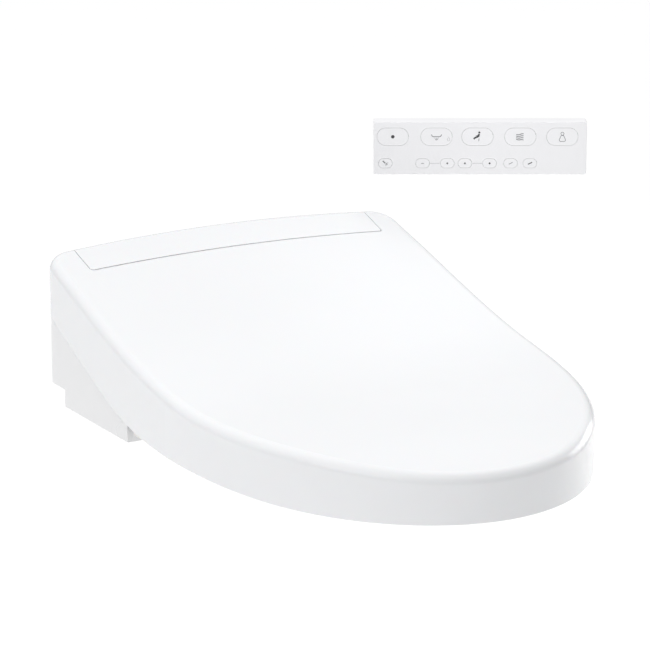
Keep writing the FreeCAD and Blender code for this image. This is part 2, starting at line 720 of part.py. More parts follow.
def base_casing():
    body = cut(base_body(), base_hollow(), bracket_space(SLIDE_GAP))
    port = wand_rod(TIP_LENGTH, -30, WAND_R + WAND_PORT_GAP)
    rack_top = RACK_PITCH_H + GEAR_MODULE + WAND_PORT_GAP
    rack_half = RACK_HALF + WAND_PORT_GAP
    body = cut(body, port, wand_block((-rack_half, rack_half), (-30, TIP_LENGTH), (0, rack_top)))
    body = cut(body, block(DUCT_X, (BASE_DEPTH - 5, BASE_DEPTH + 5), DUCT_OUT_Z), *flap_sockets())
    body = cut(body, rod((INLET_X, INLET_T, 0), (INLET_X, INLET_T, STEP_Z + 10), INLET_HOLE_R))
    body = cut(body, rod((GLAND_X, -5, GLAND_Z), (GLAND_X, 10, GLAND_Z), GLAND_HOLE_R))
    for x, t in SCREW_SPOTS:
        hole = rod((x, t, -5), (x, t, BASE_BOTTOM + FLOOR + 5), SCREW_R + SCREW_HOLE_GAP)
        recess = rod((x, t, -5), (x, t, BASE_BOTTOM + SCREW_HEAD_HIGH), SCREW_HEAD_R + 2 * SCREW_HOLE_GAP)
        body = cut(body, pair(hole.fuse(recess)))
    for x, t in FOOT_SPOTS:
        body = cut(body, pair(rod((x, t, -5), (x, t, BASE_BOTTOM + FOOT_SINK), FOOT_R)))
    return cut(body, button_space())


def rear_panel():
    inside = (-PANEL_HALF + BASE_WALL, PANEL_HALF - BASE_WALL)
    body = cut(OUTER.common(rear_box(PANEL_HALF, PANEL_DEPTH, PANEL_CORNER - 1)), BASE_SEAM)
    hollow = INNER.common(block(inside, (OUT, PANEL_DEPTH - BASE_WALL), (0, OVER)))
    front_way = block(inside, (PANEL_DEPTH - 7, PANEL_DEPTH + 10), (0, CASING_REAR_Z - BASE_WALL))
    side_hole = on_hinge(PANEL_HALF - 2 * BASE_WALL, PANEL_HALF + 1, SHAFT_R + SIDE_HOLE_GAP)
    return cut(body, hollow, front_way, pair(side_hole))


def casing_body(inset):
    """Upper casing's outer form, made smaller by inset."""
    (t0, z0), (t1, z1), (t2, z2) = CASING_TOP
    half = PANEL_HALF - inset
    front = t2 - inset
    points = [(t0, -5), (t0, z0 - inset), (t1, z1 - inset), (front, z2 - inset), (front, -5)]
    body = slab(points, (-half, half))

    def is_crest(p):
        return abs(p.x) < 1 and (abs(t_of(p) - t1) < 3 or abs(t_of(p) - t2) < 4) and p.z > z2 - 8

    def is_side(p):
        return abs(abs(p.x) - half) < 0.1 and p.z > z2 / 2 and t_of(p) > t0 + 1

    body = body.makeFillet(CASING_ROUND - inset, edges_where(body, is_crest))
    return body.makeFillet(CASING_SIDE_ROUND - inset / 2, edges_where(body, is_side))


def upper_casing():
    shell = cut(casing_body(0.0), casing_body(BASE_WALL), BASE_SEAM)
    shell = cut(shell, block((-FAR, FAR), (OUT, PANEL_DEPTH), (0, OVER)))
    posts = []
    for x, t in SCREW_SPOTS:
        post = rod((x, t, BASE_BOTTOM + FLOOR), (x, t, OVER), POST_R).common(casing_body(1.0))
        post = cut(post, rod((x, t, 0), (x, t, SCREW_END + 2), SCREW_R))
        posts += [post, mirrored(post)]
    return shell.fuse(posts).removeSplitter()


def casing_screws():
    screws = []
    long, thin = SCREW_CROSS
    z = (BASE_BOTTOM - 1, BASE_BOTTOM + 1)
    neck = BASE_BOTTOM + SCREW_HEAD_HIGH
    for x, t in SCREW_SPOTS:
        head = rod((x, t, BASE_BOTTOM + 0.1), (x, t, neck), SCREW_HEAD_R)
        drive = block((x - long, x + long), (t - thin, t + thin), z)
        cross = block((x - thin, x + thin), (t - long, t + long), z)
        shank = rod((x, t, neck - 0.1), (x, t, SCREW_END), SCREW_R)
        screw = cut(head, drive, cross).fuse(shank).removeSplitter()
        screws += [screw, mirrored(screw)]
    return Part.makeCompound(screws)


def feet():
    pads = []
    for x, t in FOOT_SPOTS:
        pad = rod((x, t, 0), (x, t, BASE_BOTTOM + FOOT_SINK), FOOT_R)
        pads += [pad, mirrored(pad)]
    return Part.makeCompound(pads)


def hinge_blocks():
    x = (DAMPER_END, DAMPER_END + HINGE_BLOCK)
    t = (HINGE_T - HINGE_BLOCK_T[0], HINGE_T + HINGE_BLOCK_T[1])
    carrier = block(x, t, (HINGE_Z - HINGE_BLOCK_Z[0], HINGE_Z + HINGE_BLOCK_Z[1]))
    return pair(cut(carrier, on_hinge(x[0] - 1, x[1] + 1, SHAFT_R + RUN_GAP)))


def damper(side):
    """Rotary damper on the hinge axis, with a bore for the shaft's end."""
    start = DAMPER_END - DAMPER_LENGTH
    reach, thick = DAMPER_FOOT
    z = (HINGE_Z - thick / 2, HINGE_Z + thick / 2)
    foot = block((start + 8, DAMPER_END - 8), (HINGE_T, HINGE_T + DAMPER_R + reach), z)
    bore = on_hinge(DAMPER_END - DAMPER_BITE - 2, DAMPER_END + 1, SHAFT_R + RUN_GAP)
    body = cut(on_hinge(start, DAMPER_END, DAMPER_R).fuse(foot).removeSplitter(), bore)
    return body if side > 0 else mirrored(body)


def shaft(side):
    body = on_hinge(DAMPER_END - DAMPER_BITE, SHAFT_END, SHAFT_R)
    return body if side > 0 else mirrored(body)


# ---- release button ---------------------------------------------------------------------------------
def on_button(x0, x1, r):
    """Rod on the button's axis."""
    return rod((x0, BUTTON_T, BUTTON_Z), (x1, BUTTON_T, BUTTON_Z), r)


def button_space():
    """Hole in the side wall for the release button."""
    half = BUTTON_SIZE[0] / 2 + BUTTON_GAP
    high = BUTTON_SIZE[1] / 2 + BUTTON_GAP
    t = (BUTTON_T - half, BUTTON_T + half)
    wall = block((REAR_HALF - 6, REAR_HALF + 5), t, (BUTTON_Z - high, BUTTON_Z + high))
    return wall.fuse(on_button(REAR_HALF, PLATE_HALF + RAIL_REACH, BUTTON_STEM_R + BUTTON_GAP))


def release_button():
    half = BUTTON_SIZE[0] / 2
    high = BUTTON_SIZE[1] / 2
    x = BASE_HALF
    t = (BUTTON_T - half, BUTTON_T + half)
    cap = block((x, x - BUTTON_THICK), t, (BUTTON_Z - high, BUTTON_Z + high))
    cap = cap.makeFillet(BUTTON_ROUND, edges_where(cap, lambda p: p.x > x - 0.1))
    stem = on_button(x - BUTTON_THICK + 0.5, PLATE_HALF + RAIL_REACH + 8, BUTTON_STEM_R)
    return cap.fuse(stem).removeSplitter()


def button_spring():
    """Coil spring round the button's stem, drawn as its closed sleeve."""
    start = REAR_HALF - 8
    end = start - SPRING_LENGTH
    outer = on_button(start, end, BUTTON_STEM_R + 1 + SPRING_WALL)
    return outer.cut(on_button(start + 1, end - 1, BUTTON_STEM_R + 1))


# ---- bracket ------------------------------------------------------------------------------------------
def bolt_slot(x):
    reach = BOLT_SLOT_LENGTH / 2 - BOLT_SLOT_R
    z = (-5, 20)
    ends = [rod((e, BOLT_LINE, z[0]), (e, BOLT_LINE, z[1]), BOLT_SLOT_R) for e in (x - reach, x + reach)]
    middle = block((x - reach, x + reach), (BOLT_LINE - BOLT_SLOT_R, BOLT_LINE + BOLT_SLOT_R), z)
    return ends[0].multiFuse([ends[1], middle]).removeSplitter()


def bracket_plate():
    plate = block((-PLATE_HALF, PLATE_HALF), PLATE_T, (0, PLATE_THICK))
    corners = edges_where(plate, lambda p: abs(p.z - PLATE_THICK / 2) < 0.1)
    plate = plate.makeFillet(PLATE_CORNER, corners)
    t = (PLATE_T[0] + RAIL_INSET, PLATE_T[1] - RAIL_INSET)
    web = block((PLATE_HALF - RAIL_WEB, PLATE_HALF), t, (PLATE_THICK - 1, RAIL_Z[1]))
    rail = block((PLATE_HALF - RAIL_WEB, PLATE_HALF + RAIL_REACH), t, RAIL_Z)
    side = web.fuse(rail).removeSplitter()
    plate = plate.multiFuse([side, mirrored(side)]).removeSplitter()
    half = BOLT_SPACING / 2
    return cut(plate, bolt_slot(half), bolt_slot(-half))


# ---- wash wand -----------------------------------------------------------------------------------------
def rack():
    start = PINION_S - PITCH
    low = RACK_PITCH_H - 1.25 * GEAR_MODULE
    high = RACK_PITCH_H + 0.8 * GEAR_MODULE
    root = (PITCH / 2 + 0.9) / 2
    tip = (PITCH / 2 - 1.0) / 2
    teeth = []
    for n in range(RACK_TEETH):
        s = start + n * PITCH
        points = [(s - root, low), (s + root, low), (s + tip, high), (s - tip, high)]
        teeth.append(slab([wand_at(0, a, b)[1:] for a, b in points], (-RACK_HALF, RACK_HALF)))
    span = (start - 2.2, start + (RACK_TEETH - 1) * PITCH + 1.2)
    bar = wand_block((-RACK_HALF, RACK_HALF), span, (WAND_R - 2.5, low + 0.05))
    return bar.multiFuse(teeth).removeSplitter()


def wash_wand():
    tube = wand_rod(TIP_LENGTH, WAND_LENGTH, WAND_R)
    tube = tube.fuse(rack()).removeSplitter()
    bore = wand_rod(TIP_LENGTH - 1, WAND_LENGTH - 20, WAND_BORE_R)
    nipple = wand_rod(WAND_LENGTH - 1, WAND_LENGTH + NIPPLE[1], NIPPLE[0])
    return cut(tube, bore).fuse(nipple).removeSplitter()


def wand_tip():
    cap = wand_rod(0, TIP_LENGTH, WAND_R)
    rim = edges_where(cap, lambda p: abs((TIP_T - t_of(p)) * COS + (p.z - TIP_Z) * SIN) < 0.1)
    cap = cap.makeFillet(TIP_ROUND, rim)
    spigot = wand_rod(TIP_LENGTH - 1, TIP_LENGTH + SPIGOT[1], SPIGOT[0])
    spray = rod(wand_at(0, 5, 3), wand_at(0, 5, WAND_R + 2), SPRAY_R)
    flat = wand_block((-5.0, 5.0), (1.5, 9.0), (WAND_R - 1.0, WAND_R + 3))
    return cut(cap.fuse(spigot).removeSplitter(), spray, flat)


def wand_guide():
    run = WAND_R + GUIDE_GAP
    half = run + GUIDE_WALL
    channel = wand_block((-half, half), (10.0, WAND_LENGTH - 6), (-WAND_R - 3.2, 1.5))
    channel = cut(channel, wand_rod(-10, WAND_LENGTH + 20, run))
    channel = cut(channel, wand_block((-run, run), (0.0, WAND_LENGTH + 20), (0.0, 10)))
    floor = STEP_Z + FLOOR
    start, end = [BASE_DEPTH - back for back in GUIDE_LEG]
    leg = slab([(start, floor), (end, floor), (end, floor + 42), (start, floor + 50)], (-half + 2, half - 2))
    above = wand_block((-FAR, FAR), (-FAR, FAR), (-WAND_R - 2.2, FAR))
    return channel.fuse(cut(leg, above)).removeSplitter()


def pinion_axis(x):
    return wand_at(x, PINION_S, RACK_PITCH_H + PITCH_R)


def drive_pinion():
    """Straight-sided teeth; a gap faces the rack's tooth at rest."""
    x = (-RACK_HALF, RACK_HALF)
    core = rod(pinion_axis(x[0]), pinion_axis(x[1]), PITCH_R - 1.15 * GEAR_MODULE)
    centre = pinion_axis(0)
    root = (PITCH / 2 + 0.7 - GEAR_BACKLASH) / 2
    tip = (PITCH / 2 - 1.1 - GEAR_BACKLASH) / 2
    low = PITCH_R - 1.5 * GEAR_MODULE
    high = PITCH_R + 0.8 * GEAR_MODULE
    down = -90.0 - WAND_ANGLE
    teeth = []
    for n in range(GEAR_TEETH):
        angle = math.radians(down + (n + 0.5) * 360.0 / GEAR_TEETH)
        out = (math.cos(angle), math.sin(angle))
        along = (-out[1], out[0])
        points = []
        for reach, half in ((low, -root), (low, root), (high, tip), (high, -tip)):
            t = centre[1] + out[0] * reach + along[0] * half
            z = centre[2] + out[1] * reach + along[1] * half
            points.append((t, z))
        teeth.append(slab(points, x))
    gear = core.multiFuse(teeth).removeSplitter()
    hub = rod(pinion_axis(x[1]), pinion_axis(x[1] + 3), GEAR_HUB_R)
    gear = gear.fuse(hub).removeSplitter()
    return cut(gear, rod(pinion_axis(x[0] - 2), pinion_axis(x[1] + 5), GEAR_BORE_R + RUN_GAP))


def wand_motor():
    start, end = WAND_MOTOR_X
    can = rod(pinion_axis(start), pinion_axis(end), WAND_MOTOR_R)
    spindle = rod(pinion_axis(-RACK_HALF - 0.5), pinion_axis(start + 0.4), GEAR_BORE_R)
    middle = RACK_PITCH_H + PITCH_R
    lug_s = (PINION_S - WAND_MOTOR_R - 4, PINION_S + WAND_MOTOR_R + 6)
    lugs = wand_block((start, start + 1.2), lug_s, (middle - 3.5, middle + 3.5))
    return can.multiFuse([spindle, lugs]).removeSplitter()


# ---- dryer ---------------------------------------------------------------------------------------------
def on_fan(z0, z1, r):
    """Rod on the fan's upright axis."""
    return rod((FAN_X, FAN_T, z0), (FAN_X, FAN_T, z1), r)


def fan_housing():
    low, high = FAN_Z
    x = (DUCT_X[0] + 4, DUCT_X[1] - 8)
    outer = on_fan(low, high, VOLUTE_R + FAN_WALL)
    throat = block(x, (FAN_T, DUCT_T[0]), FAN_Z)
    inner = on_fan(low + FAN_WALL, high - FAN_WALL, VOLUTE_R)
    way = block((x[0] + FAN_WALL, x[1] - FAN_WALL), (FAN_T, DUCT_T[0] + 1), (low + FAN_WALL, high - FAN_WALL))
    return cut(outer.fuse(throat).removeSplitter(), inner, way, on_fan(high - 5, high + 5, FAN_INLET_R))


def impeller():
    low, high = FAN_Z
    disc = on_fan(low + 4, low + 5.5, WHEEL_R)
    hub = on_fan(low + 4, low + 16, 4 * GEAR_BORE_R)
    rim = on_fan(high - 7, high - 6, WHEEL_R).cut(on_fan(0, OVER, WHEEL_R - 5))
    x = FAN_X + WHEEL_R - 0.5
    blade = block((x - BLADE_DEEP, x), (FAN_T - 0.6, FAN_T + 0.6), (low + 5, high - 6.5))
    blade.rotate(at(x - BLADE_DEEP / 2, FAN_T, 0), Vector(0, 0, 1), BLADE_LEAN)
    blades = []
    for n in range(BLADES):
        copy = blade.copy()
        copy.rotate(at(FAN_X, FAN_T, 0), Vector(0, 0, 1), n * 360.0 / BLADES)
        blades.append(copy)
    wheel = disc.multiFuse([hub, rim] + blades).removeSplitter()
    return cut(wheel, on_fan(0, OVER, GEAR_BORE_R + RUN_GAP))


def dryer_motor():
    low, high = FAN_Z
    r, tall = DRYER_MOTOR
    reach, half, thick = SPIDER
    z = (high, high + thick)
    can = on_fan(high + 1, high + 1 + tall, r)
    spindle = on_fan(low + 6, high + 2, GEAR_BORE_R)
    across = block((FAN_X - reach, FAN_X + reach), (FAN_T - half, FAN_T + half), z)
    along = block((FAN_X - half, FAN_X + half), (FAN_T - reach, FAN_T + reach), z)
    return can.multiFuse([spindle, across, along]).removeSplitter()


def duct_shape(inset, reach):
    start, end = DUCT_T[0] - reach, DUCT_T[1] + reach
    low, high = DUCT_OUT_Z[0] - 1 + inset, DUCT_OUT_Z[1] + 1 - inset
    points = [
        (start, FAN_Z[1] - inset),
        (DUCT_T[0] + DUCT_SHOULDER, FAN_Z[1] - inset),
        (end, high),
        (end, low),
        (BASE_DEPTH - DUCT_TURN, low),
        (start, FAN_Z[0] + inset),
    ]
    return slab(points, (DUCT_X[0] - 1.5 + inset, DUCT_X[1] + 1.5 - inset))


def dryer_duct():
    return cut(duct_shape(0.0, 0.0), duct_shape(FAN_WALL, 1.0))


def dryer_heater():
    low, high = FAN_Z
    start = DUCT_T[0] + 4
    end = start + DRYER_HEATER_T
    frame = block((DUCT_X[0] + 4, DUCT_X[1] - 4), (start, end), (low + 2, high - 12))
    wide, step = HEATER_CELL
    cells = []
    x = DUCT_X[0] + step
    while x + wide < DUCT_X[1] - 4:
        cells.append(block((x, x + wide), (start - 1, end + 1), (low + 4, high - 14)))
        x += step
    return cut(frame, *cells)


def flap_axis():
    return (BASE_DEPTH - FLAP_THICK / 2 - 0.3, DUCT_OUT_Z[1] - FLAP_THICK)


def dryer_flap():
    t, z = flap_axis()
    x = (DUCT_X[0] + FLAP_GAP, DUCT_X[1] - FLAP_GAP)
    pin_r, pin = FLAP_PIVOT
    plate = block(x, (t - FLAP_THICK / 2, t + FLAP_THICK / 2), (DUCT_OUT_Z[0] + FLAP_GAP, z))
    roll = rod((x[0], t, z), (x[1], t, z), FLAP_ROLL_R)
    pivot = rod((x[0] - pin, t, z), (x[1] + pin, t, z), pin_r)
    return plate.multiFuse([roll, pivot]).removeSplitter()


def flap_sockets():
    t, z = flap_axis()
    reach = FLAP_PIVOT[1] + 0.6
    return [rod((x - reach, t, z), (x + reach, t, z), FLAP_PIVOT[0] + RUN_GAP) for x in DUCT_X]


# ---- water ---------------------------------------------------------------------------------------------
def at_inlet(z0, z1, r):
    """Rod on the inlet's upright axis."""
    return rod((INLET_X, INLET_T, z0), (INLET_X, INLET_T, z1), r)


def along_line(x0, x1, r):
    """Rod on the water line between the inlet and the valve."""
    return rod((x0, INLET_T, WATER_Z), (x1, INLET_T, WATER_Z), r)


def water_inlet():
    low = STEP_Z - INLET_LENGTH
    deck = STEP_Z + FLOOR
    stub = at_inlet(low, STEP_Z, INLET_R)
    neck = at_inlet(STEP_Z - 1, deck + 1, INLET_NECK_R)
    flange = at_inlet(deck, deck + INLET_FLANGE[1], INLET_FLANGE[0])
    riser = at_inlet(deck + 2, WATER_Z + 5, INLET_HOLE_R)
    elbow = along_line(VALVE_X[1], INLET_X, INLET_HOLE_R - 1)
    body = stub.multiFuse([flange, neck, riser, elbow]).removeSplitter()
    return cut(body, at_inlet(low - 1, WATER_Z, INLET_BORE_R), along_line(VALVE_X[1] - 2, INLET_X, 3.2))


def solenoid_valve():
    low = STEP_Z + FLOOR + 1
    high = low + VALVE_HIGH
    half = VALVE_SIZE / 2
    x = sum(VALVE_X) / 2
    body = block(VALVE_X, (INLET_T - half, INLET_T + half), (low, high))
    body = body.makeFillet(2.0, edges_where(body, lambda p: abs(p.z - (low + high) / 2) < 1))
    core = rod((x, INLET_T, high - 1), (x, INLET_T, high + COIL[1] + 2), VALVE_CORE_R)
    nipple = along_line(VALVE_X[0] - NIPPLE_REACH, VALVE_X[0] + 1, TUBE_R)
    return body.multiFuse([core, nipple]).removeSplitter()


def valve_coil():
    x = sum(VALVE_X) / 2
    r, tall = COIL
    z = STEP_Z + FLOOR + 1 + VALVE_HIGH + 0.2
    coil = rod((x, INLET_T, z), (x, INLET_T, z + tall), r)
    tabs = block((x - 4, x + 4), (INLET_T + r - 1.5, INLET_T + r + 4.5), (z + 6, z + 14))
    return cut(coil.fuse(tabs).removeSplitter(), rod((x, INLET_T, 0), (x, INLET_T, OVER), VALVE_CORE_R + 0.1))


def water_tube():
    """Supply tube from the valve to the heater tank: two straight runs and one round bend."""
    r = TUBE_BEND
    slant = r * (1 - math.sqrt(0.5))
    start = at(VALVE_X[0] - NIPPLE_REACH, INLET_T, WATER_Z)
    turn_in = at(TANK_PORT_X + r, INLET_T, WATER_Z)
    middle = at(TANK_PORT_X + slant, INLET_T + slant, WATER_Z)
    turn_out = at(TANK_PORT_X, INLET_T + r, WATER_Z)
    end = at(TANK_PORT_X, TANK_T[0] - 6, WATER_Z)
    bend = Part.Arc(turn_in, middle, turn_out).toShape()
    path = Part.Wire([Part.makeLine(start, turn_in), bend, Part.makeLine(turn_out, end)])
    section = Part.Wire([Part.Circle(start, Vector(1, 0, 0), TUBE_R).toShape()])
    return path.makePipeShell([section], True, False)


def heater_tank():
    body = block(TANK_X, TANK_T, TANK_Z)
    middle = sum(TANK_Z) / 2
    body = body.makeFillet(TANK_CORNER, edges_where(body, lambda p: abs(p.z - middle) < 1))
    inner = block(*[(low + TANK_WALL, high - TANK_WALL) for low, high in (TANK_X, TANK_T, TANK_Z)])
    x = TANK_PORT_X
    inlet = rod((x, TANK_T[0] - 6, WATER_Z), (x, TANK_T[0] + 1, WATER_Z), TANK_PORT_R)
    outlet = rod((x, TANK_T[1] - 1, TANK_OUT_Z), (x, TANK_T[1] + 10, TANK_OUT_Z), TUBE_R)
    return cut(body.multiFuse([inlet, outlet]).removeSplitter(), inner)


def heating_element():
    low, high = TANK_Z[0] + ELEMENT_INSET - 2, TANK_Z[1] - ELEMENT_INSET + 2
    left, right = TANK_X[0] + ELEMENT_INSET, TANK_X[1] - ELEMENT_INSET
    t = sum(TANK_T) / 2
    bars = [
        rod((left, t, low), (right, t, low), ELEMENT_R),
        rod((left, t, high), (right, t, high), ELEMENT_R),
        rod((left, t, low), (left, t, high), ELEMENT_R),
        rod((right - 2, t, low), (right - 2, t, high), ELEMENT_R),
    ]
    z = middle_of(low, high)
    plug = rod((right - 1, t, z), (TANK_X[1] - TANK_WALL, t, z), ELEMENT_PLUG_R)
    return bars[0].multiFuse(bars[1:] + [plug]).removeSplitter()


def pump_head():
    wide, long, tall = PUMP_SIZE
    x = PUMP_X
    t = (PUMP_T, PUMP_T + long)
    head = block((x - wide / 2, x + wide / 2), t, (PUMP_Z, PUMP_Z + tall))
    head = head.makeFillet(2.0, edges_where(head, lambda p: abs(p.z - PUMP_MID_Z) < 1))
    inlet = rod((x, t[0] + 1, PUMP_MID_Z + 6), (x, t[0] - 7, PUMP_MID_Z + 6), ELEMENT_R)
    outlet = rod((x, middle_of(*t), PUMP_Z + tall - 1), (x, middle_of(*t), PUMP_Z + tall + 8), ELEMENT_R)
    return head.multiFuse([inlet, outlet]).removeSplitter()


def pump_motor():
    r, long = PUMP_MOTOR
    start = PUMP_T + PUMP_SIZE[1]
    can = rod((PUMP_X, start, PUMP_MID_Z), (PUMP_X, start + long, PUMP_MID_Z), r)
    end = rod((PUMP_X, start + long - 1, PUMP_MID_Z), (PUMP_X, start + long + 2, PUMP_MID_Z), 4.0)
    return can.fuse(end).removeSplitter()


# ---- electronics ---------------------------------------------------------------------------------------
def control_board():
    board = block(CONTROL_X, (CONTROL_T, CONTROL_T + BOARD_THICK), CONTROL_Z)
    parts = [block(x, (CONTROL_T - tall, CONTROL_T + 0.2), z) for x, z, tall in CONTROL_PARTS]
    return board.multiFuse(parts).removeSplitter()


def power_board():
    top = POWER_Z + BOARD_THICK
    board = block(POWER_X, POWER_T, (POWER_Z, top))
    parts = [block(x, t, (top - 0.6, top + tall)) for x, t, tall in POWER_PARTS]
    x, t, r, tall = CAPACITOR
    parts.append(rod((x, t, top - 0.6), (x, t, top + tall), r))
    return board.multiFuse(parts).removeSplitter()


def cord_gland():
    r, thick = GLAND_COLLAR
    collar = rod((GLAND_X, 0.5 - thick, GLAND_Z), (GLAND_X, 0.5, GLAND_Z), r)
    neck = rod((GLAND_X, 0, GLAND_Z), (GLAND_X, GLAND_LENGTH, GLAND_Z), GLAND_NECK_R)
    bore = rod((GLAND_X, OUT, GLAND_Z), (GLAND_X, -OUT, GLAND_Z), CORD_BORE_R)
    return cut(collar.fuse(neck).removeSplitter(), bore)


# ---- remote --------------------------------------------------------------------------------------------
def placed(shape):
    """Moves a piece drawn about the origin, face towards -Y, to the remote's place."""
    copy = shape.copy()
    copy.Placement = Placement(Vector(REMOTE_X, REMOTE_Y, REMOTE_Z), Rotation(Vector(0, 0, 1), REMOTE_YAW))
    return copy


def cell(u, d, v):
    """Box by width u, depth d behind the remote's face and height v, about the face's centre."""
    corner = Vector(u[0], d[0] - REMOTE_DEEP / 2, v[0])
    return Part.makeBox(u[1] - u[0], d[1] - d[0], v[1] - v[0], corner)


def pin(u, d, v, r):
    """Round pin through the remote's depth."""
    return Part.makeCylinder(r, d[1] - d[0], Vector(u, d[0] - REMOTE_DEEP / 2, v), Vector(0, 1, 0))


def pill(u, v, size, d, grow=0.0):
    """Round-ended key shape centred on (u, v)."""
    w = size[0] / 2 + grow
    h = size[1] / 2 + grow
    body = cell((u - w, u + w), d, (v - h, v + h))
    y = middle_of(*d) - REMOTE_DEEP / 2
    return body.makeFillet(min(w, h) - 0.3, edges_where(body, lambda p: abs(p.y - y) < 0.05))


def all_keys():
    keys = {name: (u, TOP_KEY_V, TOP_KEY_SIZE) for name, u in TOP_KEYS.items()}
    keys.update({name: (u, LOW_KEY_V, LOW_KEY_SIZE) for name, u in LOW_KEYS.items()})
    return keys


def remote_outer():
    half = REMOTE_WIDE / 2
    high = REMOTE_HIGH / 2
    body = cell((-half, half), (0, REMOTE_DEEP), (-high, high))
    body = body.makeFillet(REMOTE_ROUND, edges_where(body, lambda p: abs(p.y) < 0.1))
    return body.makeFillet(REMOTE_EDGE, edges_where(body, lambda p: abs(abs(p.y) - REMOTE_DEEP / 2) < 0.01))


def remote_inner():
    half = REMOTE_WIDE / 2 - REMOTE_WALL
    high = REMOTE_HIGH / 2 - REMOTE_WALL
    return cell((-half, half), (REMOTE_WALL, REMOTE_DEEP - REMOTE_WALL), (-high, high))


def remote_front():
    body = remote_outer().common(cell((-FAR, FAR), (-1, REMOTE_SPLIT), (-FAR, FAR)))
    body = cut(body, remote_inner())
    return cut(body, *[pill(u, v, size, (-2, 5), KEY_GAP) for u, v, size in all_keys().values()])


def hook_space():
    """Room for the cradle's T-shaped hook, open at the remote's lower edge."""
    v = (-REMOTE_HIGH / 2 - 1, HOOK_TOP + HOOK_GAP)
    half = HOOK_HALF + HOOK_GAP
    head = cell((-half, half), (HOOK_D[0] - HOOK_GAP, HOOK_D[1] + HOOK_GAP), v)
    half = HOOK_STEM_HALF + HOOK_GAP
    stem = cell((-half, half), (HOOK_D[0], REMOTE_DEEP + 1), v)
    return head.fuse(stem).removeSplitter()


def remote_back():
    body = remote_outer().common(cell((-FAR, FAR), (REMOTE_SPLIT, REMOTE_DEEP + 1), (-FAR, FAR)))
    body = cut(body, remote_inner())
    half = HOOK_HALF + HOOK_GUARD
    guard_v = (-REMOTE_HIGH / 2 + 1, HOOK_TOP + HOOK_GUARD + 0.2)
    guard = cell((-half, half), (HOOK_D[0] - HOOK_GUARD, REMOTE_DEEP - 1), guard_v)
    body = cut(body.fuse(guard).removeSplitter(), hook_space())
    rim_v = (-BAY_HALF - BAY_RIM, BAY_HALF + BAY_RIM)
    rim_d = (COVER_D[0] - 0.1, REMOTE_DEEP + 1)
    seat = cell((BAY_U[0] - BAY_RIM, BAY_U[1] + BAY_RIM), rim_d, rim_v)
    bay = cell(BAY_U, (REMOTE_SPLIT + 1, REMOTE_DEEP + 1), (-BAY_HALF, BAY_HALF))
    way_out = cell((BAY_U[0] - 20, BAY_U[0]), rim_d, rim_v)
    return cut(body, seat, bay, way_out)


def battery_cover():
    reach = BAY_RIM - COVER_GAP
    plate = cell((BAY_U[0] - COVER_TAIL, BAY_U[1] + reach), COVER_D, (-BAY_HALF - reach, BAY_HALF + reach))
    return cut(plate, *[cell((u, u + 1), (COVER_D[1] - 0.4, COVER_D[1] + 1), (-6, 6)) for u in GRIPS])


def batteries():
    cells = []
    for v in (-CELL_PITCH / 2, CELL_PITCH / 2):
        start = Vector(BAY_U[0] + 3.2, CELL_D - REMOTE_DEEP / 2, v)
        body = Part.makeCylinder(CELL_R, CELL_LENGTH - CELL_CAP[1], start, Vector(1, 0, 0))
        cap = Part.makeCylinder(CELL_CAP[0], CELL_LENGTH, start, Vector(1, 0, 0))
        cells.append(body.fuse(cap).removeSplitter())
    return Part.makeCompound(cells)


def remote_board():
    wide, high, thick = REMOTE_BOARD
    return cell((-wide / 2, wide / 2), (REMOTE_BOARD_D, REMOTE_BOARD_D + thick), (-high / 2, high / 2))


def key_cap(name):
    u, v, size = all_keys()[name]
    stem = pin(u, (KEY_THICK - 0.1, KEY_THICK - 0.1 + KEY_STEM[1]), v, KEY_STEM[0])
    return pill(u, v, size, (0, KEY_THICK)).fuse(stem).removeSplitter()


def remote_cradle():
    wide, high = CRADLE_SIZE
    back = (REMOTE_DEEP + CRADLE_GAP, REMOTE_DEEP + CRADLE_GAP + CRADLE_THICK)
    plate = cell((-wide / 2, wide / 2), back, (-high / 2, high / 2))
    y = middle_of(*back) - REMOTE_DEEP / 2
    plate = plate.makeFillet(CRADLE_CORNER, edges_where(plate, lambda p: abs(p.y - y) < 0.1))
    v = (-high / 2 + 2, HOOK_TOP - 0.5)
    stem = cell((-HOOK_STEM_HALF, HOOK_STEM_HALF), (HOOK_D[0] + 0.5, back[0] + 0.5), v)
    head = cell((-HOOK_HALF, HOOK_HALF), (HOOK_D[0], HOOK_D[1] - 0.1), v)
    body = plate.multiFuse([stem, head]).removeSplitter()
    holes = [pin(u, (back[0] - 3, back[1] + 3), 0, CRADLE_SCREW_R) for u in (-CRADLE_SCREW_U, CRADLE_SCREW_U)]
    return cut(body, *holes)


# ---- all the pieces ------------------------------------------------------------------------------------
keep("lid_shell", lid_shell())
keep("lid_liner", lid_liner())
keep("lid_bumpers", lid_bumpers())
keep("lid_shaft", shaft(1))
keep("seat_shaft", shaft(-1))
keep("lid_damper", damper(1))
keep("seat_damper", damper(-1))
keep("hinge_blocks", hinge_blocks())
keep("seat_top", seat_top())
keep("seat_bottom", seat_bottom())
keep("seat_heater", seat_heater())
keep("seat_bumpers", seat_bumpers())
keep("base_casing", base_casing())
keep("rear_panel", rear_panel())
keep("upper_casing", upper_casing())
keep("casing_screws", casing_screws())
keep("base_feet", feet())
keep("release_button", release_button())
keep("button_spring", button_spring())
keep("bracket_plate", bracket_plate())
keep("wash_wand", wash_wand())
keep("wand_tip", wand_tip())
keep("wand_guide", wand_guide())
keep("drive_pinion", drive_pinion())
keep("wand_motor", wand_motor())
keep("dryer_housing", fan_housing())
keep("dryer_impeller", impeller())
keep("dryer_motor", dryer_motor())
keep("dryer_duct", dryer_duct())
keep("dryer_heater", dryer_heater())
keep("dryer_flap", dryer_flap())
keep("water_inlet", water_inlet())
keep("solenoid_valve", solenoid_valve())
keep("valve_coil", valve_coil())
keep("water_tube", water_tube())
keep("heater_tank", heater_tank())
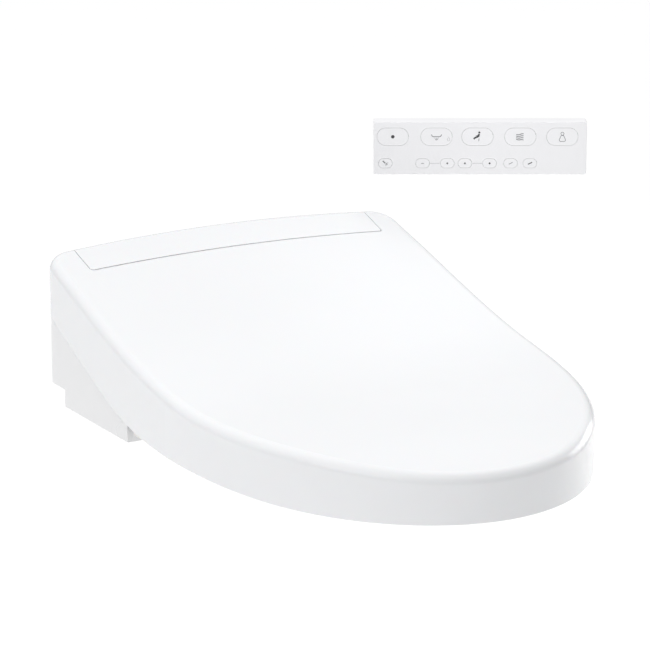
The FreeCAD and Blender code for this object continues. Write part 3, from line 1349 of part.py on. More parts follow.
keep("heating_element", heating_element())
keep("pump_head", pump_head())
keep("pump_motor", pump_motor())
keep("control_board", control_board())
keep("power_board", power_board())
keep("cord_gland", cord_gland())
keep("remote_front", placed(remote_front()))
keep("remote_back", placed(remote_back()))
keep("battery_cover", placed(battery_cover()))
keep("batteries", placed(batteries()))
keep("remote_board", placed(remote_board()))
keep("remote_cradle", placed(remote_cradle()))
for key_name in all_keys():
    keep(key_name, placed(key_cap(key_name)))

for node, shape in NODES.items():
    shape.exportStep("parts/" + node + ".step")
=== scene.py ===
"""Electric bidet seat with its wall remote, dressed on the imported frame.

All lengths are in metres in the row's own frame: -Y is the seat's front tip, +Z is up.
"""
import json
import math

import bmesh
import bpy
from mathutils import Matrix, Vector


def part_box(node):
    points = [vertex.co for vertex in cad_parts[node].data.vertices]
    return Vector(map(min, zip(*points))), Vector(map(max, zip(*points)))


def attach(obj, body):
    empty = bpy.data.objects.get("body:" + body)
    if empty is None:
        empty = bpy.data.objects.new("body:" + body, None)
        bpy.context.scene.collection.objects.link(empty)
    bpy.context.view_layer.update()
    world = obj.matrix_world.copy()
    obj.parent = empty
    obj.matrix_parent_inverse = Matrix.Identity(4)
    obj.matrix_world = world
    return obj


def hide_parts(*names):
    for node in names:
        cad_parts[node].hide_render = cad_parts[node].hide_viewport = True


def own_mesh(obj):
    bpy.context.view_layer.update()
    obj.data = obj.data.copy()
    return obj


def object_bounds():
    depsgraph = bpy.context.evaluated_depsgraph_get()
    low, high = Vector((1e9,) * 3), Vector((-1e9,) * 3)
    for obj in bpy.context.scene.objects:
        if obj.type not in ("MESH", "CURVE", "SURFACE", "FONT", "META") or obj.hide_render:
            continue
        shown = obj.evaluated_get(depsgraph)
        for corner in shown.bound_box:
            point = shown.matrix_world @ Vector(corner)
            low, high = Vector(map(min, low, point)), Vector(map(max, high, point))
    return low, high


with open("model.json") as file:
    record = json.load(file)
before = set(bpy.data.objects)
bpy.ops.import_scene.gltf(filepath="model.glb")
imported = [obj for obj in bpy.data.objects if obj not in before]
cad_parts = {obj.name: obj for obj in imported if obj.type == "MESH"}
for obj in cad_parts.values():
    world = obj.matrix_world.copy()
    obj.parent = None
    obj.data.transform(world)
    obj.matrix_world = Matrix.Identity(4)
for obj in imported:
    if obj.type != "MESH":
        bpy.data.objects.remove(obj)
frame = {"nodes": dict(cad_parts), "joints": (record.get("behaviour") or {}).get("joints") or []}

cad_low, cad_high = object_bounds()
MM = 0.001
NODES = frame["nodes"]
JOINTS = {joint["name"]: joint for joint in frame["joints"]}


# ---- colour and node helpers ---------------------------------------------------------------
def linear(code):
    """sRGB hex to linear RGBA."""
    out = []
    for k in (1, 3, 5):
        c = int(code[k:k + 2], 16) / 255
        out.append(c / 12.92 if c <= 0.04045 else ((c + 0.055) / 1.055) ** 2.4)
    return (*out, 1.0)


def fit(tree, node, links=(), **settings):
    """Sets a node's inputs and properties by name, and links other sockets into it."""
    for name, value in settings.items():
        if hasattr(node, name):
            setattr(node, name, value)
        else:
            node.inputs[name.replace("_", " ")].default_value = value
    for socket, source in links:
        tree.links.new(source, node.inputs[socket])
    return node


def add(tree, kind, links=(), **settings):
    """Adds a node with its settings and its links."""
    return fit(tree, tree.nodes.new(kind), links, **settings)


def blank(name):
    """A new material with only its output, its shader and the object's own coordinates."""
    material = bpy.data.materials.new(name)
    material.use_nodes = True
    tree = material.node_tree
    tree.nodes.clear()
    shader = add(tree, "ShaderNodeBsdfPrincipled")
    add(tree, "ShaderNodeOutputMaterial", [("Surface", shader.outputs[0])])
    where = add(tree, "ShaderNodeTexCoord").outputs["Object"]
    return material, tree, shader, where


NOISE_SPAN = (0.3, 0.7)  # nearly all of a noise texture's values lie between these
RELIEF = 0.3  # strength of an ordinary relief


def surface(tree, shader, tone, height, low, high, rough, swing, depth, **sockets):
    """Colour and roughness follow one texture and the relief follows another. A colour that is
    even all over is set on the shader itself, as the other sockets are."""
    gloss = add(
        tree, "ShaderNodeMapRange", [("Value", tone)], From_Min=NOISE_SPAN[0], From_Max=NOISE_SPAN[1],
        To_Min=rough - swing, To_Max=rough + swing,
    )
    bump = add(tree, "ShaderNodeBump", [("Height", height)], Strength=RELIEF, Distance=depth)
    links = [("Roughness", gloss.outputs["Result"]), ("Normal", bump.outputs["Normal"])]
    if low == high:
        sockets["Base_Color"] = linear(low)
    else:
        colour = add(
            tree, "ShaderNodeMix", [("Factor", tone)], data_type="RGBA", A=linear(low), B=linear(high),
        )
        links.append(("Base Color", colour.outputs["Result"]))
    fit(tree, shader, links, **sockets)


def moulded(name, low, high, patch, grain, depth, rough, swing, **sockets):
    """Injection-moulded plastic. Its colour drifts over patches of one size, and its skin keeps the
    mould's finish as a fine relief of another size."""
    material, tree, shader, where = blank(name)
    drift = add(tree, "ShaderNodeTexNoise", [("Vector", where)], Scale=1 / patch, Detail=2.0)
    finish = add(tree, "ShaderNodeTexNoise", [("Vector", where)], Scale=1 / grain, Detail=3.0)
    surface(
        tree, shader, drift.outputs["Fac"], finish.outputs["Fac"], low, high, rough, swing, depth,
        **sockets,
    )
    return material


def metal(name, low, high, grain, stretch, depth, rough, swing):
    """Bare metal: the tool's or the roll's marks run along the stretched direction."""
    material, tree, shader, where = blank(name)
    drawn = add(tree, "ShaderNodeMapping", [("Vector", where)], Scale=[1 / s for s in stretch])
    marks = add(
        tree, "ShaderNodeTexNoise", [("Vector", drawn.outputs["Vector"])], Scale=1 / grain, Detail=4.0,
    ).outputs["Fac"]
    surface(tree, shader, marks, marks, low, high, rough, swing, depth, Metallic=1.0)
    return material


# ---- materials -----------------------------------------------------------------------------
def polypropylene_lid():
    # Gloss polypropylene from a polished mould: mirror-like at a glance, with the faint waviness
    # of a large thin panel, about 25 mm from crest to crest.
    return moulded(
        "gloss white polypropylene lid", "#E9EAEC", "#ECEDEF", 120 * MM, 25 * MM, 0.03 * MM, 0.22, 0.03,
        IOR=1.49, Coat_Weight=0.35, Coat_Roughness=0.08,
        Subsurface_Weight=0.05, Subsurface_Scale=1.5 * MM,
    )


def abs_base():
    # Gloss ABS of the fixed unit: a touch greyer and less deep than the lid.
    return moulded(
        "gloss white abs base", "#E5E6E7", "#E9E9EA", 80 * MM, 14 * MM, 0.03 * MM, 0.28, 0.04,
        IOR=1.53, Coat_Weight=0.15, Coat_Roughness=0.12,
    )


def heated_seat():
    # Antibacterial polypropylene of the heated ring: warm white, smooth and a little translucent.
    return moulded(
        "warm white polypropylene seat", "#E8E8E5", "#EDEDEA", 70 * MM, 10 * MM, 0.03 * MM, 0.26, 0.04,
        IOR=1.49, Coat_Weight=0.25, Coat_Roughness=0.1, Subsurface_Weight=0.08, Subsurface_Scale=2 * MM,
    )


def satin_acetal():
    # Fine-sparked acetal of the wand, flap, tank and ducts: a dull sheen with a 0.4 mm grain.
    return moulded(
        "satin white acetal", "#E1E2E2", "#E8E8E8", 40 * MM, 0.4 * MM, 0.02 * MM, 0.45, 0.05, IOR=1.48,
    )


def filled_nylon():
    # Glass-filled nylon of the brackets: grey, with pale fibre flecks about 1 mm long.
    material, tree, shader, where = blank("glass-filled grey nylon")
    drawn = add(tree, "ShaderNodeMapping", [("Vector", where)], Scale=[1 / s for s in (3, 1, 1)])
    fibres = add(
        tree, "ShaderNodeTexNoise", [("Vector", drawn.outputs["Vector"])],
        Scale=1 / (1.0 * MM), Detail=4.0,
    ).outputs["Fac"]
    flecks = add(tree, "ShaderNodeMapRange", [("Value", fibres)], From_Min=0.45, From_Max=0.7)
    colour = add(
        tree, "ShaderNodeMix", [("Factor", flecks.outputs["Result"])],
        data_type="RGBA", A=linear("#808386"), B=linear("#A6A9AB"),
    )
    gloss = add(tree, "ShaderNodeMapRange", [("Value", fibres)], To_Min=0.5, To_Max=0.62)
    bump = add(tree, "ShaderNodeBump", [("Height", fibres)], Strength=RELIEF, Distance=0.03 * MM)
    fit(tree, shader, [
        ("Base Color", colour.outputs["Result"]),
        ("Roughness", gloss.outputs["Result"]),
        ("Normal", bump.outputs["Normal"]),
    ], IOR=1.53)
    return material


def grey_rubber():
    # Compression-moulded EPDM: matt, near black grey, with a bloom that dulls it in patches.
    return moulded(
        "matt grey epdm rubber", "#4A4B4D", "#5A5B5D", 12 * MM, 0.6 * MM, 0.04 * MM, 0.78, 0.08, IOR=1.5,
    )


def bumper_rubber():
    # Soft white elastomer pads: matt, slightly see-through at their edges.
    return moulded(
        "soft white elastomer", "#DCDDDD", "#E6E6E5", 9 * MM, 0.5 * MM, 0.03 * MM, 0.6, 0.06,
        IOR=1.45, Subsurface_Weight=0.15, Subsurface_Scale=1.5 * MM,
    )


def ground_steel():
    # Centreless-ground stainless steel: rings round the shaft about 0.3 mm apart.
    return metal(
        "ground stainless steel", "#A9ACAF", "#C6C8CA", 3 * MM, (0.1, 1, 1), 0.01 * MM, 0.3, 0.06,
    )


def plated_steel():
    # Zinc-plated motor cans and rolled heater foil: bright grey with long rolling marks.
    return metal("zinc-plated steel", "#B4B7BA", "#CDCFD1", 6 * MM, (1, 1, 0.15), 0.02 * MM, 0.34, 0.08)


def chrome_tip():
    # Polished stainless nozzle tip: a clean mirror with the finest wiping marks.
    return metal(
        "polished stainless nozzle", "#C9CCCE", "#DADCDD", 8 * MM, (1, 0.3, 1), 0.003 * MM, 0.1, 0.03,
    )


def turned_brass():
    # Free-cutting brass off the lathe: rings across the axis about 0.4 mm apart, tarnish in patches.
    return metal("turned brass", "#B8924C", "#D8B56E", 4 * MM, (1, 1, 0.1), 0.02 * MM, 0.32, 0.08)


def black_nylon():
    # Black nylon of the fan, pinion, pump and dampers: dull, with a fine moulded texture.
    return moulded(
        "black moulded nylon", "#161718", "#202122", 15 * MM, 0.5 * MM, 0.03 * MM, 0.5, 0.07, IOR=1.53,
    )


BRICK = {"Scale": 1.0, "Mortar_Size": 0.8 * MM, "Brick_Width": 9 * MM, "Row_Height": 4 * MM}


def circuit_board(name, axis, surface_at, side):
    # Glass-epoxy board under green solder mask: copper tracks 0.8 mm wide show through as paler
    # lines, and everything that stands past the board's face is a black component.
    material, tree, shader, where = blank(name)
    parts = add(tree, "ShaderNodeSeparateXYZ", [("Vector", where)])
    if axis == "Y":
        upright = add(
            tree, "ShaderNodeMapping", [("Vector", where)], Rotation=(math.radians(90), 0, 0),
        )
        where = upright.outputs["Vector"]
    tracks = add(tree, "ShaderNodeTexBrick", [("Vector", where)], **BRICK).outputs["Fac"]
    board = add(
        tree, "ShaderNodeMix", [("Factor", tracks)],
        data_type="RGBA", A=linear("#0F5A32"), B=linear("#3E8A58"),
    )
    past = add(
        tree, "ShaderNodeMapRange", [("Value", parts.outputs[axis])],
        From_Min=surface_at, From_Max=surface_at + side * 0.05 * MM,
    )
    colour = add(
        tree, "ShaderNodeMix", [("Factor", past.outputs["Result"]), ("A", board.outputs["Result"])],
        data_type="RGBA", B=linear("#1B1C1E"),
    )
    gloss = add(tree, "ShaderNodeMapRange", [("Value", tracks)], To_Min=0.35, To_Max=0.28)
    bump = add(tree, "ShaderNodeBump", [("Height", tracks)], Strength=RELIEF, Distance=0.05 * MM)
    fit(tree, shader, [
        ("Base Color", colour.outputs["Result"]),
        ("Roughness", gloss.outputs["Result"]),
        ("Normal", bump.outputs["Normal"]),
    ], IOR=1.55)
    return material


WAVE_BANDS = 20 / (2 * math.pi)  # a wave texture of scale 1 has this many bands in a metre


def wound_copper():
    # Enamelled copper winding: turns of 0.4 mm wire, drawn as 1 mm bands so that they show.
    material, tree, shader, where = blank("enamelled copper winding")
    turns = add(
        tree, "ShaderNodeTexWave", [("Vector", where)],
        bands_direction="Z", Scale=1 / (WAVE_BANDS * 1.0 * MM),
    ).outputs["Fac"]
    colour = add(
        tree, "ShaderNodeMix", [("Factor", turns)],
        data_type="RGBA", A=linear("#7A3D20"), B=linear("#C4703E"),
    )
    bump = add(tree, "ShaderNodeBump", [("Height", turns)], Strength=0.8, Distance=0.2 * MM)
    fit(tree, shader, [
        ("Base Color", colour.outputs["Result"]),
        ("Normal", bump.outputs["Normal"]),
    ], Metallic=0.85, Roughness=0.35)
    return material


def cell_sleeve():
    # Shrunk printed sleeve of a dry cell: grey, with bare plated steel at the ends.
    return moulded(
        "printed cell sleeve", "#5D6570", "#6A727D", 14 * MM, 1.2 * MM, 0.02 * MM, 0.3, 0.06, IOR=1.5,
    )


def clear_tube():
    # Milky cross-linked polyethylene tube: pale blue and slightly see-through.
    return moulded(
        "milky polyethylene tube", "#C5D0DB", "#D6DFE7", 20 * MM, 1.5 * MM, 0.02 * MM, 0.35, 0.05,
        IOR=1.51, Subsurface_Weight=0.3, Subsurface_Scale=3 * MM,
    )


def remote_case():
    # Satin-gloss ABS of the remote: fine spark texture, 0.8 mm from grain to grain.
    return moulded(
        "satin-gloss abs remote", "#EDEDEF", "#F0F0F2", 60 * MM, 0.8 * MM, 0.01 * MM, 0.36, 0.04,
        IOR=1.53, Coat_Weight=0.1, Coat_Roughness=0.2,
    )


def remote_key():
    # Keys of the same ABS, cut from another mould and a shade brighter.
    return moulded(
        "satin-gloss abs key", "#EEEEF0", "#F1F1F3", 30 * MM, 0.8 * MM, 0.01 * MM, 0.33, 0.04,
        IOR=1.53, Coat_Weight=0.1, Coat_Roughness=0.2,
    )


def printed_ink(name, code):
    # Pad-printed ink: a thin, even, slightly raised film with a 0.5 mm mottle from the pad.
    return moulded(name, code, code, 3 * MM, 0.5 * MM, 0.01 * MM, 0.5, 0.05, IOR=1.5)


def dress(material, *names):
    """Gives CAD nodes one material."""
    for name in names:
        mesh = NODES[name].data
        mesh.materials.clear()
        mesh.materials.append(material)


KEYS = [name for name in NODES if name.endswith("_key")]
BRASS = turned_brass()

dress(polypropylene_lid(), "lid_shell", "lid_liner", "rear_panel")
dress(abs_base(), "base_casing", "upper_casing")
dress(heated_seat(), "seat_top", "seat_bottom")
dress(
    satin_acetal(), "dryer_duct", "solenoid_valve", "heater_tank", "remote_cradle", "wash_wand",
    "dryer_flap", "release_button",
)
dress(filled_nylon(), "hinge_blocks", "wand_guide", "bracket_plate")
dress(grey_rubber(), "base_feet", "cord_gland")
dress(bumper_rubber(), "lid_bumpers", "seat_bumpers")
dress(ground_steel(), "lid_shaft", "seat_shaft", "casing_screws", "heating_element")
dress(plated_steel(), "seat_heater", "wand_motor", "dryer_motor", "dryer_heater", "pump_motor")
dress(chrome_tip(), "wand_tip")
dress(
    black_nylon(), "lid_damper", "seat_damper", "dryer_housing", "pump_head", "drive_pinion",
    "dryer_impeller",
)
dress(wound_copper(), "valve_coil")
dress(cell_sleeve(), "batteries")
dress(clear_tube(), "water_tube")
dress(remote_case(), "remote_front", "remote_back", "battery_cover")
dress(remote_key(), *KEYS)
control_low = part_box("control_board")[0]
power_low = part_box("power_board")[0]
remote_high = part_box("remote_board")[1]
UPRIGHT_FACE = 2.0 * MM  # from each board's back to just past its bare face
FLAT_FACE = 1.65 * MM
PAST_REMOTE = 1.0 * MM  # nothing stands on the remote's board, so this lies clear of it
dress(circuit_board("upright circuit board", "Y", control_low.y + UPRIGHT_FACE, 1), "control_board")
dress(circuit_board("flat circuit board", "Z", power_low.z + FLAT_FACE, 1), "power_board")
dress(circuit_board("remote circuit board", "Z", remote_high.z + PAST_REMOTE, 1), "remote_board")


# ---- pieces built here ---------------------------------------------------------------------
def piece(name, bm, material, body, smooth=True):
    """Turns a bmesh into a shaded piece that rides a CAD body."""
    bmesh.ops.recalc_face_normals(bm, faces=bm.faces)
    mesh = bpy.data.meshes.new(name)
    bm.to_mesh(mesh)
    bm.free()
    mesh.materials.append(material)
    for face in mesh.polygons:
        face.use_smooth = smooth
    made = bpy.data.objects.new(name, mesh)
    bpy.context.scene.collection.objects.link(made)
    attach(made, body)
    return made


def skin(bm, rows, closed_rows=True):
    """Quads between rows of vertices; each row is a closed loop unless told otherwise."""
    for a, b in zip(rows, rows[1:]):
        count = len(a)
        for k in range(count if closed_rows else count - 1):
            bm.faces.new((a[k], a[(k + 1) % count], b[(k + 1) % count], b[k]))


# ---- ink on the remote's keys --------------------------------------------------------------
INWARD = Vector(JOINTS["stop_key_press"]["axis"]).normalized()
ACROSS = Vector((INWARD.y, -INWARD.x, 0.0))
REMOTE_HALF = 9.0 * MM  # half of the remote's thickness
boxes = [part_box("remote_front"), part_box("remote_back")]
MIDDLE = Vector([(min(b[0][k] for b in boxes) + max(b[1][k] for b in boxes)) / 2 for k in range(3)])
FACE = MIDDLE - INWARD * REMOTE_HALF
INK_HIGH = 0.05 * MM  # how far the film stands out, and how far it sinks in


def key_spot(name):
    """A key's centre on the remote's face, in millimetres across and up."""
    low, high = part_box(name)
    offset = (low + high) / 2 - FACE
    return offset.dot(ACROSS) / MM, offset.z / MM


def on_face(u, v, out):
    """The place u and v millimetres across and up the remote's face, and out metres before it."""
    return FACE + ACROSS * u * MM + Vector((0, 0, v * MM)) - INWARD * out


def line(bm, spot, points, width, closed=False):
    """Printed line of even width through points (across, up), in millimetres about spot."""
    count = len(points)
    rows = []
    for k, (u, v) in enumerate(points):
        before = points[(k - 1) % count] if closed or k else points[0]
        after = points[(k + 1) % count] if closed or k < count - 1 else points[-1]
        run = Vector((after[0] - before[0], after[1] - before[1])).normalized() * width / 2
        row = []
        for side, out in ((1, -INK_HIGH), (1, INK_HIGH), (-1, INK_HIGH), (-1, -INK_HIGH)):
            across, up = spot[0] + u - run.y * side, spot[1] + v + run.x * side
            row.append(bm.verts.new(on_face(across, up, out)))
        rows.append(row)
    skin(bm, rows + rows[:1] if closed else rows)
    if not closed:
        bm.faces.new(rows[0])
        bm.faces.new(rows[-1])


def circle(u, v, radius, count=20):
    turns = [2 * math.pi * k / count for k in range(count)]
    return [(u + radius * math.cos(a), v + radius * math.sin(a)) for a in turns]


def dot(bm, spot, u, v, radius):
    """Printed round dot: a ring as wide as its own radius."""
    line(bm, spot, circle(u, v, radius / 2), radius, closed=True)


DARK_INK = printed_ink("dark grey ink", "#3C3D40")
MID_INK = printed_ink("mid grey ink", "#6E6F73")
FAINT_INK = printed_ink("faint grey ink", "#B4B5B8")


def stop_mark(bm, spot):
    dot(bm, spot, 0, 0, 1.7)


def rear_mark(bm, spot):
    line(bm, spot, [(-4.8, 2.2), (-4.2, 0.6), (-3.0, 0.0), (3.0, 0.0), (4.2, 0.6), (4.8, 2.2)], 0.7)
    for u in (-1.7, 0.0, 1.7):
        line(bm, spot, [(u * 0.3, -3.4), (u, -1.1)], 0.4)


def soft_drop(bm, spot):
    right = [(0.9, 0.3), (1.2, -0.7), (0.8, -1.6)]
    left = [(-u, v) for u, v in reversed(right)]
    beside = (spot[0] + 11.6, spot[1] - 2.2)
    line(bm, beside, [(0.0, 2.0), *right, (0.0, -1.9), *left], 0.35, closed=True)


def front_mark(bm, spot):
    dot(bm, spot, 1.7, 4.2, 1.0)
    line(bm, spot, [(1.5, 2.8), (1.1, 0.6), (-0.8, -0.5), (-2.2, -0.9), (-3.6, -2.2)], 1.7)
    line(bm, spot, [(1.2, 2.0), (-0.4, 1.0), (-1.6, 0.9)], 0.6)
    line(bm, spot, [(1.5, -1.4), (1.2, -4.4)], 0.4)


def dryer_mark(bm, spot):
    for v in (-2.7, -0.9, 0.9, 2.7):
        gust = [(u, v * (1 + 0.04 * u) - 0.25 + 0.3 * math.sin(u * 0.9)) for u in range(-4, 4)]
        line(bm, spot, gust, 0.75)


def user_mark(bm, spot):
    line(bm, spot, circle(0, 3.0, 1.5), 0.5, closed=True)
    right = [(1.2, 1.2), (2.0, -0.6), (2.8, -2.4), (2.9, -3.8), (2.0, -4.6)]
    line(bm, spot, right + [(-u, v) for u, v in reversed(right)], 0.5, closed=True)


def clean_mark(bm, spot):
    line(bm, spot, [(-2.6, 2.4), (-0.2, 0.2)], 1.0)
    for u, v in ((2.6, 0.6), (2.2, -1.4), (0.6, -2.6)):
        line(bm, spot, [(0.5, -0.3), (u, v)], 0.45)


def minus_mark(bm, spot):
    line(bm, spot, [(-1.4, 0.0), (1.4, 0.0)], 0.5)


def plus_mark(bm, spot):
    dot(bm, spot, 0, 0, 0.9)


def cool_mark(bm, spot):
    line(bm, spot, [(-1.7, -0.8), (-0.4, -0.3), (1.9, 1.0)], 0.55)


def warm_mark(bm, spot):
    line(bm, spot, [(-1.9, -0.9), (-0.5, -0.3), (2.1, 1.1)], 0.95)


MARKS = {
    "stop_key": (stop_mark, DARK_INK),
    "rear_wash_key": (rear_mark, MID_INK),
    "front_wash_key": (front_mark, DARK_INK),
    "dryer_key": (dryer_mark, MID_INK),
    "user_key": (user_mark, MID_INK),
    "nozzle_clean_key": (clean_mark, MID_INK),
    "pressure_down_key": (minus_mark, MID_INK),
    "pressure_up_key": (plus_mark, MID_INK),
    "position_back_key": (plus_mark, MID_INK),
    "position_forward_key": (plus_mark, DARK_INK),
    "temperature_down_key": (cool_mark, MID_INK),
    "temperature_up_key": (warm_mark, DARK_INK),
}
for key, (draw, material) in MARKS.items():
    sketch = bmesh.new()
    draw(sketch, key_spot(key))
    piece("ink_" + key, sketch, material, key + "_cap", smooth=False)
sketch = bmesh.new()
soft_drop(sketch, key_spot("rear_wash_key"))
piece("ink_soft_wash", sketch, FAINT_INK, "rear_wash_key_cap", smooth=False)
SCALE_MARGIN = 7.2  # from a key's centre to the end of the scale line beside it
for first, second in (
    ("pressure_down_key", "pressure_up_key"),
    ("position_back_key", "position_forward_key"),
):
    start, end = key_spot(first), key_spot(second)
    sketch = bmesh.new()
    line(sketch, start, [(SCALE_MARGIN, 0.0), (end[0] - start[0] - SCALE_MARGIN, 0.0)], 0.35)
    piece("ink_scale_" + first, sketch, FAINT_INK, "remote", smooth=False)


# ---- coil spring behind the release button -------------------------------------------------
WIRE_R = 0.6 * MM
SPRING_TURNS = 7
CLOSED_END = 0.6  # share of a turn at each end


def button_spring():
    """Round wire wound round the button's stem, its end turns closed."""
    low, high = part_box("button_spring")
    reach = (high.y - low.y) / 2 - WIRE_R
    centre = (low + high) / 2
    around, sides = 28, 10
    bm = bmesh.new()
    rows = []
    for k in range(SPRING_TURNS * around + 1):
        share = k / (SPRING_TURNS * around)
        angle = 2 * math.pi * k / around
        # The wire runs level over the first and last part of a turn, which closes the ends.
        eased = min(1.0, max(0.0, (share * SPRING_TURNS - CLOSED_END) / (SPRING_TURNS - 2 * CLOSED_END)))
        x = low.x + WIRE_R + (high.x - low.x - 2 * WIRE_R) * eased
        out = Vector((0, math.cos(angle), math.sin(angle)))
        row = []
        for m in range(sides):
            tilt = 2 * math.pi * m / sides
            spot = Vector((x, centre.y, centre.z)) + out * (reach + WIRE_R * math.cos(tilt))
            row.append(bm.verts.new(spot + Vector((WIRE_R * math.sin(tilt), 0, 0))))
        rows.append(row)
    skin(bm, rows)
    bm.faces.new(rows[0])
    bm.faces.new(rows[-1])
    made = piece("release_spring", bm, SPRING, "base")
    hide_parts("button_spring")
    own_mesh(made)


# Cold-drawn spring wire: bright grey with die lines running along the wire, about 0.3 mm apart.
SPRING = metal("drawn spring wire", "#9A9DA0", "#BFC2C5", 2 * MM, (1, 0.15, 0.15), 0.01 * MM, 0.32, 0.06)
button_spring()


# ---- water inlet with its pipe thread ------------------------------------------------------
THREAD_PITCH = 1.814 * MM
THREAD_DEEP = 1.16 * MM
THREAD_STEP = 0.18 * MM  # between the turned rings that carry the thread
THREAD = (1.0 * MM, 12.6 * MM)  # from the stub's open end
TINY = 0.01 * MM  # radius that closes a turned piece on its axis
CREST = 10.45 * MM
BORE = 4.2 * MM
NECK = 5.9 * MM
FLANGE = 12.0 * MM
RISER = 6.0 * MM
NECK_FROM, FLANGE_FROM, FLANGE_TO = 14.0 * MM, 17.0 * MM, 20.0 * MM
FLANGE_ROUND = 0.5 * MM
ELBOW = (3.2 * MM, 5.0 * MM)  # bore and outside of the side branch
ELBOW_DOWN = 5.0 * MM  # its axis below the riser's top


def lathe(bm, profile, centre, along, around=48, thread=None):
    """Turns a profile of (radius, distance along) in metres. thread is its start and end."""
    axis = Vector(along)
    side = Vector((0, 1, 0))
    other = axis.cross(side)
    rows = []
    for radius, reach in profile:
        row = []
        for k in range(around):
            angle = 2 * math.pi * k / around
            r = radius
            if thread and thread[0] <= reach <= thread[1]:
                phase = (reach / THREAD_PITCH + k / around) % 1.0
                fade = min(1.0, (reach - thread[0]) / THREAD_PITCH, (thread[1] - reach) / THREAD_PITCH)
                r -= THREAD_DEEP * (1 - fade * (1 - abs(2 * phase - 1)))
            out = side * math.cos(angle) + other * math.sin(angle)
            row.append(bm.verts.new(Vector(centre) + axis * reach + out * max(r, TINY)))
        rows.append(row)
    skin(bm, rows)


def water_inlet():
    """Half-inch pipe thread, flange, riser and the elbow to the valve."""
    low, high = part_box("water_inlet")
    x, y = (low.x + high.x) / 2, (low.y + high.y) / 2
    tall = high.z - low.z
    root = CREST - THREAD_DEEP
    rows = [(0.0, tall - ELBOW_DOWN), (BORE, tall - ELBOW_DOWN), (BORE, 0.6 * MM)]
    rows += [(BORE + 0.6 * MM, 0.0), (root, 0.0)]
    reach = THREAD[0]
    while reach < THREAD[1]:
        rows.append((CREST, reach))
        reach += THREAD_STEP
    rows += [(root, THREAD[1] + 0.05 * MM), (root, NECK_FROM), (NECK, NECK_FROM), (NECK, FLANGE_FROM)]
    rows += [(FLANGE - FLANGE_ROUND, FLANGE_FROM), (FLANGE, FLANGE_FROM + FLANGE_ROUND)]
    rows += [(FLANGE, FLANGE_TO - FLANGE_ROUND), (FLANGE - FLANGE_ROUND, FLANGE_TO)]
    rows += [(RISER + 0.8 * MM, FLANGE_TO), (RISER, FLANGE_TO + 0.8 * MM)]
    rows += [(RISER, tall - 1.5 * MM), (RISER - 1.5 * MM, tall), (0.0, tall)]
    bm = bmesh.new()
    lathe(bm, rows, (x, y, low.z), (0, 0, 1), thread=THREAD)
    stub = x - low.x
    bore, outside = ELBOW
    elbow = [(0.0, 4 * MM), (bore, 4 * MM), (bore, stub), (outside, stub), (outside, 0.0), (0.0, 0.0)]
    lathe(bm, elbow, (x, y, high.z - ELBOW_DOWN), (-1, 0, 0), around=32)
    made = piece("threaded_inlet", bm, BRASS, "base")
    made.data.set_sharp_from_angle(angle=math.radians(35))
    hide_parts("water_inlet")


water_inlet()


# ---- studio --------------------------------------------------------------------------------
scene = bpy.context.scene
scene.view_settings.view_transform = "Standard"

AIM = Vector((-0.0302, -0.190, 0.110))
AZIMUTH = math.radians(-29.0)
ELEVATION = math.radians(15.4)
DISTANCE = 3.599
LENS = 227.4
HORIZON = 0.25  # strength of the sky at the horizon
ZENITH = 1.79  # and overhead
DARK_SIDE = (0.55, -0.83, 0.0)  # the studio is open and dim towards this side
DARK_SHARE = 0.25
BOWL_HIGH = 0.4  # the seat stands on a bowl, this far above the floor
FLOOR_REACH = 8.0


def camera():
    back = Vector((
        math.sin(AZIMUTH) * math.cos(ELEVATION),
        -math.cos(AZIMUTH) * math.cos(ELEVATION),
        math.sin(ELEVATION),
    ))
    data = bpy.data.cameras.new("camera")
    data.lens = LENS
    data.sensor_width = 36.0
    data.clip_end = 50.0
    seat = bpy.data.objects.new("camera", data)
    seat.location = AIM + back * DISTANCE
    seat.rotation_euler = back.to_track_quat("Z", "Y").to_euler()
    scene.collection.objects.link(seat)
    scene.camera = seat


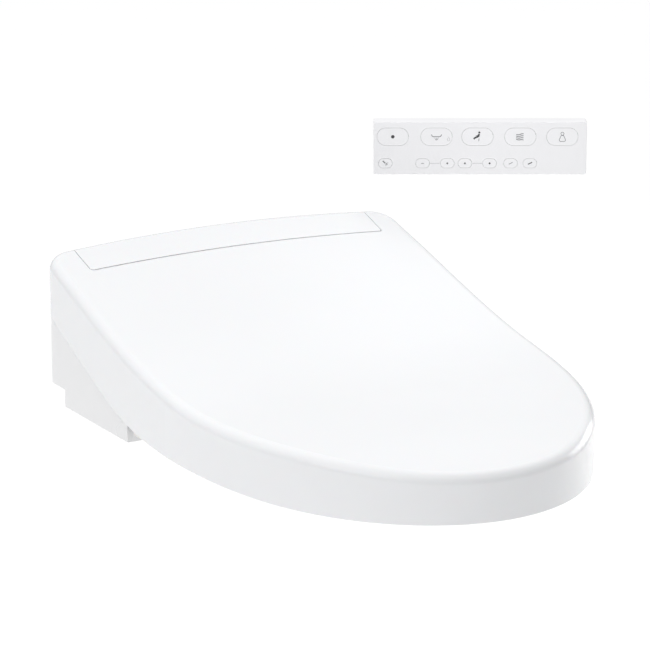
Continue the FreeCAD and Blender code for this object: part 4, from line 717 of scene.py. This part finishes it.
def softbox(name, place, toward, size, power, spread=180):
    data = bpy.data.lights.new(name, "AREA")
    data.shape = "RECTANGLE"
    data.size, data.size_y = size
    data.energy = power
    data.spread = math.radians(spread)
    lamp = bpy.data.objects.new(name, data)
    lamp.location = place
    lamp.rotation_euler = (Vector(place) - Vector(toward)).to_track_quat("Z", "Y").to_euler()
    scene.collection.objects.link(lamp)


def floor():
    mesh = bpy.data.meshes.new("floor")
    z = cad_low.z - BOWL_HIGH
    corners = [(x * FLOOR_REACH, y * FLOOR_REACH, z) for x, y in ((-1, -1), (1, -1), (1, 1), (-1, 1))]
    mesh.from_pydata(corners, [], [(0, 1, 2, 3)])
    plane = bpy.data.objects.new("floor", mesh)
    scene.collection.objects.link(plane)
    material, tree, shader, _ = blank("pale studio floor")
    fit(tree, shader, Base_Color=linear("#F6F6F6"), Roughness=0.8)
    mesh.materials.append(material)


def sky():
    """Soft light from all round, brighter overhead than at the horizon."""
    world = bpy.data.worlds.new("studio")
    world.use_nodes = True
    tree = world.node_tree
    where = add(tree, "ShaderNodeTexCoord").outputs["Generated"]
    height = add(tree, "ShaderNodeSeparateXYZ", [("Vector", where)]).outputs["Z"]
    facing = add(tree, "ShaderNodeVectorMath", [(0, where)], operation="DOT_PRODUCT")
    facing.inputs[1].default_value = DARK_SIDE
    up = add(tree, "ShaderNodeMapRange", [("Value", height)], To_Min=HORIZON, To_Max=ZENITH)
    shade = add(
        tree, "ShaderNodeMapRange", [("Value", facing.outputs["Value"])], To_Min=1.0, To_Max=DARK_SHARE,
    )
    power = add(
        tree, "ShaderNodeMath", [(0, up.outputs["Result"]), (1, shade.outputs["Result"])],
        operation="MULTIPLY",
    )
    fit(
        tree, tree.nodes["Background"], [("Strength", power.outputs[0])], Color=linear("#FFFFFF"),
    )
    scene.world = world


camera()
sky()
floor()
softbox("left key", (-1.9, -1.3, 0.9), (0, -0.2, 0.05), (1.6, 1.0), 4.0)
softbox("right rim", (2.0, 0.1, 0.35), (0.1, -0.35, 0.05), (1.2, 0.8), 8.0)
softbox("remote fill", (-0.05, -0.53, 0.26), (0.29, 0.08, 0.18), (0.3, 0.2), 0.08, spread=50)
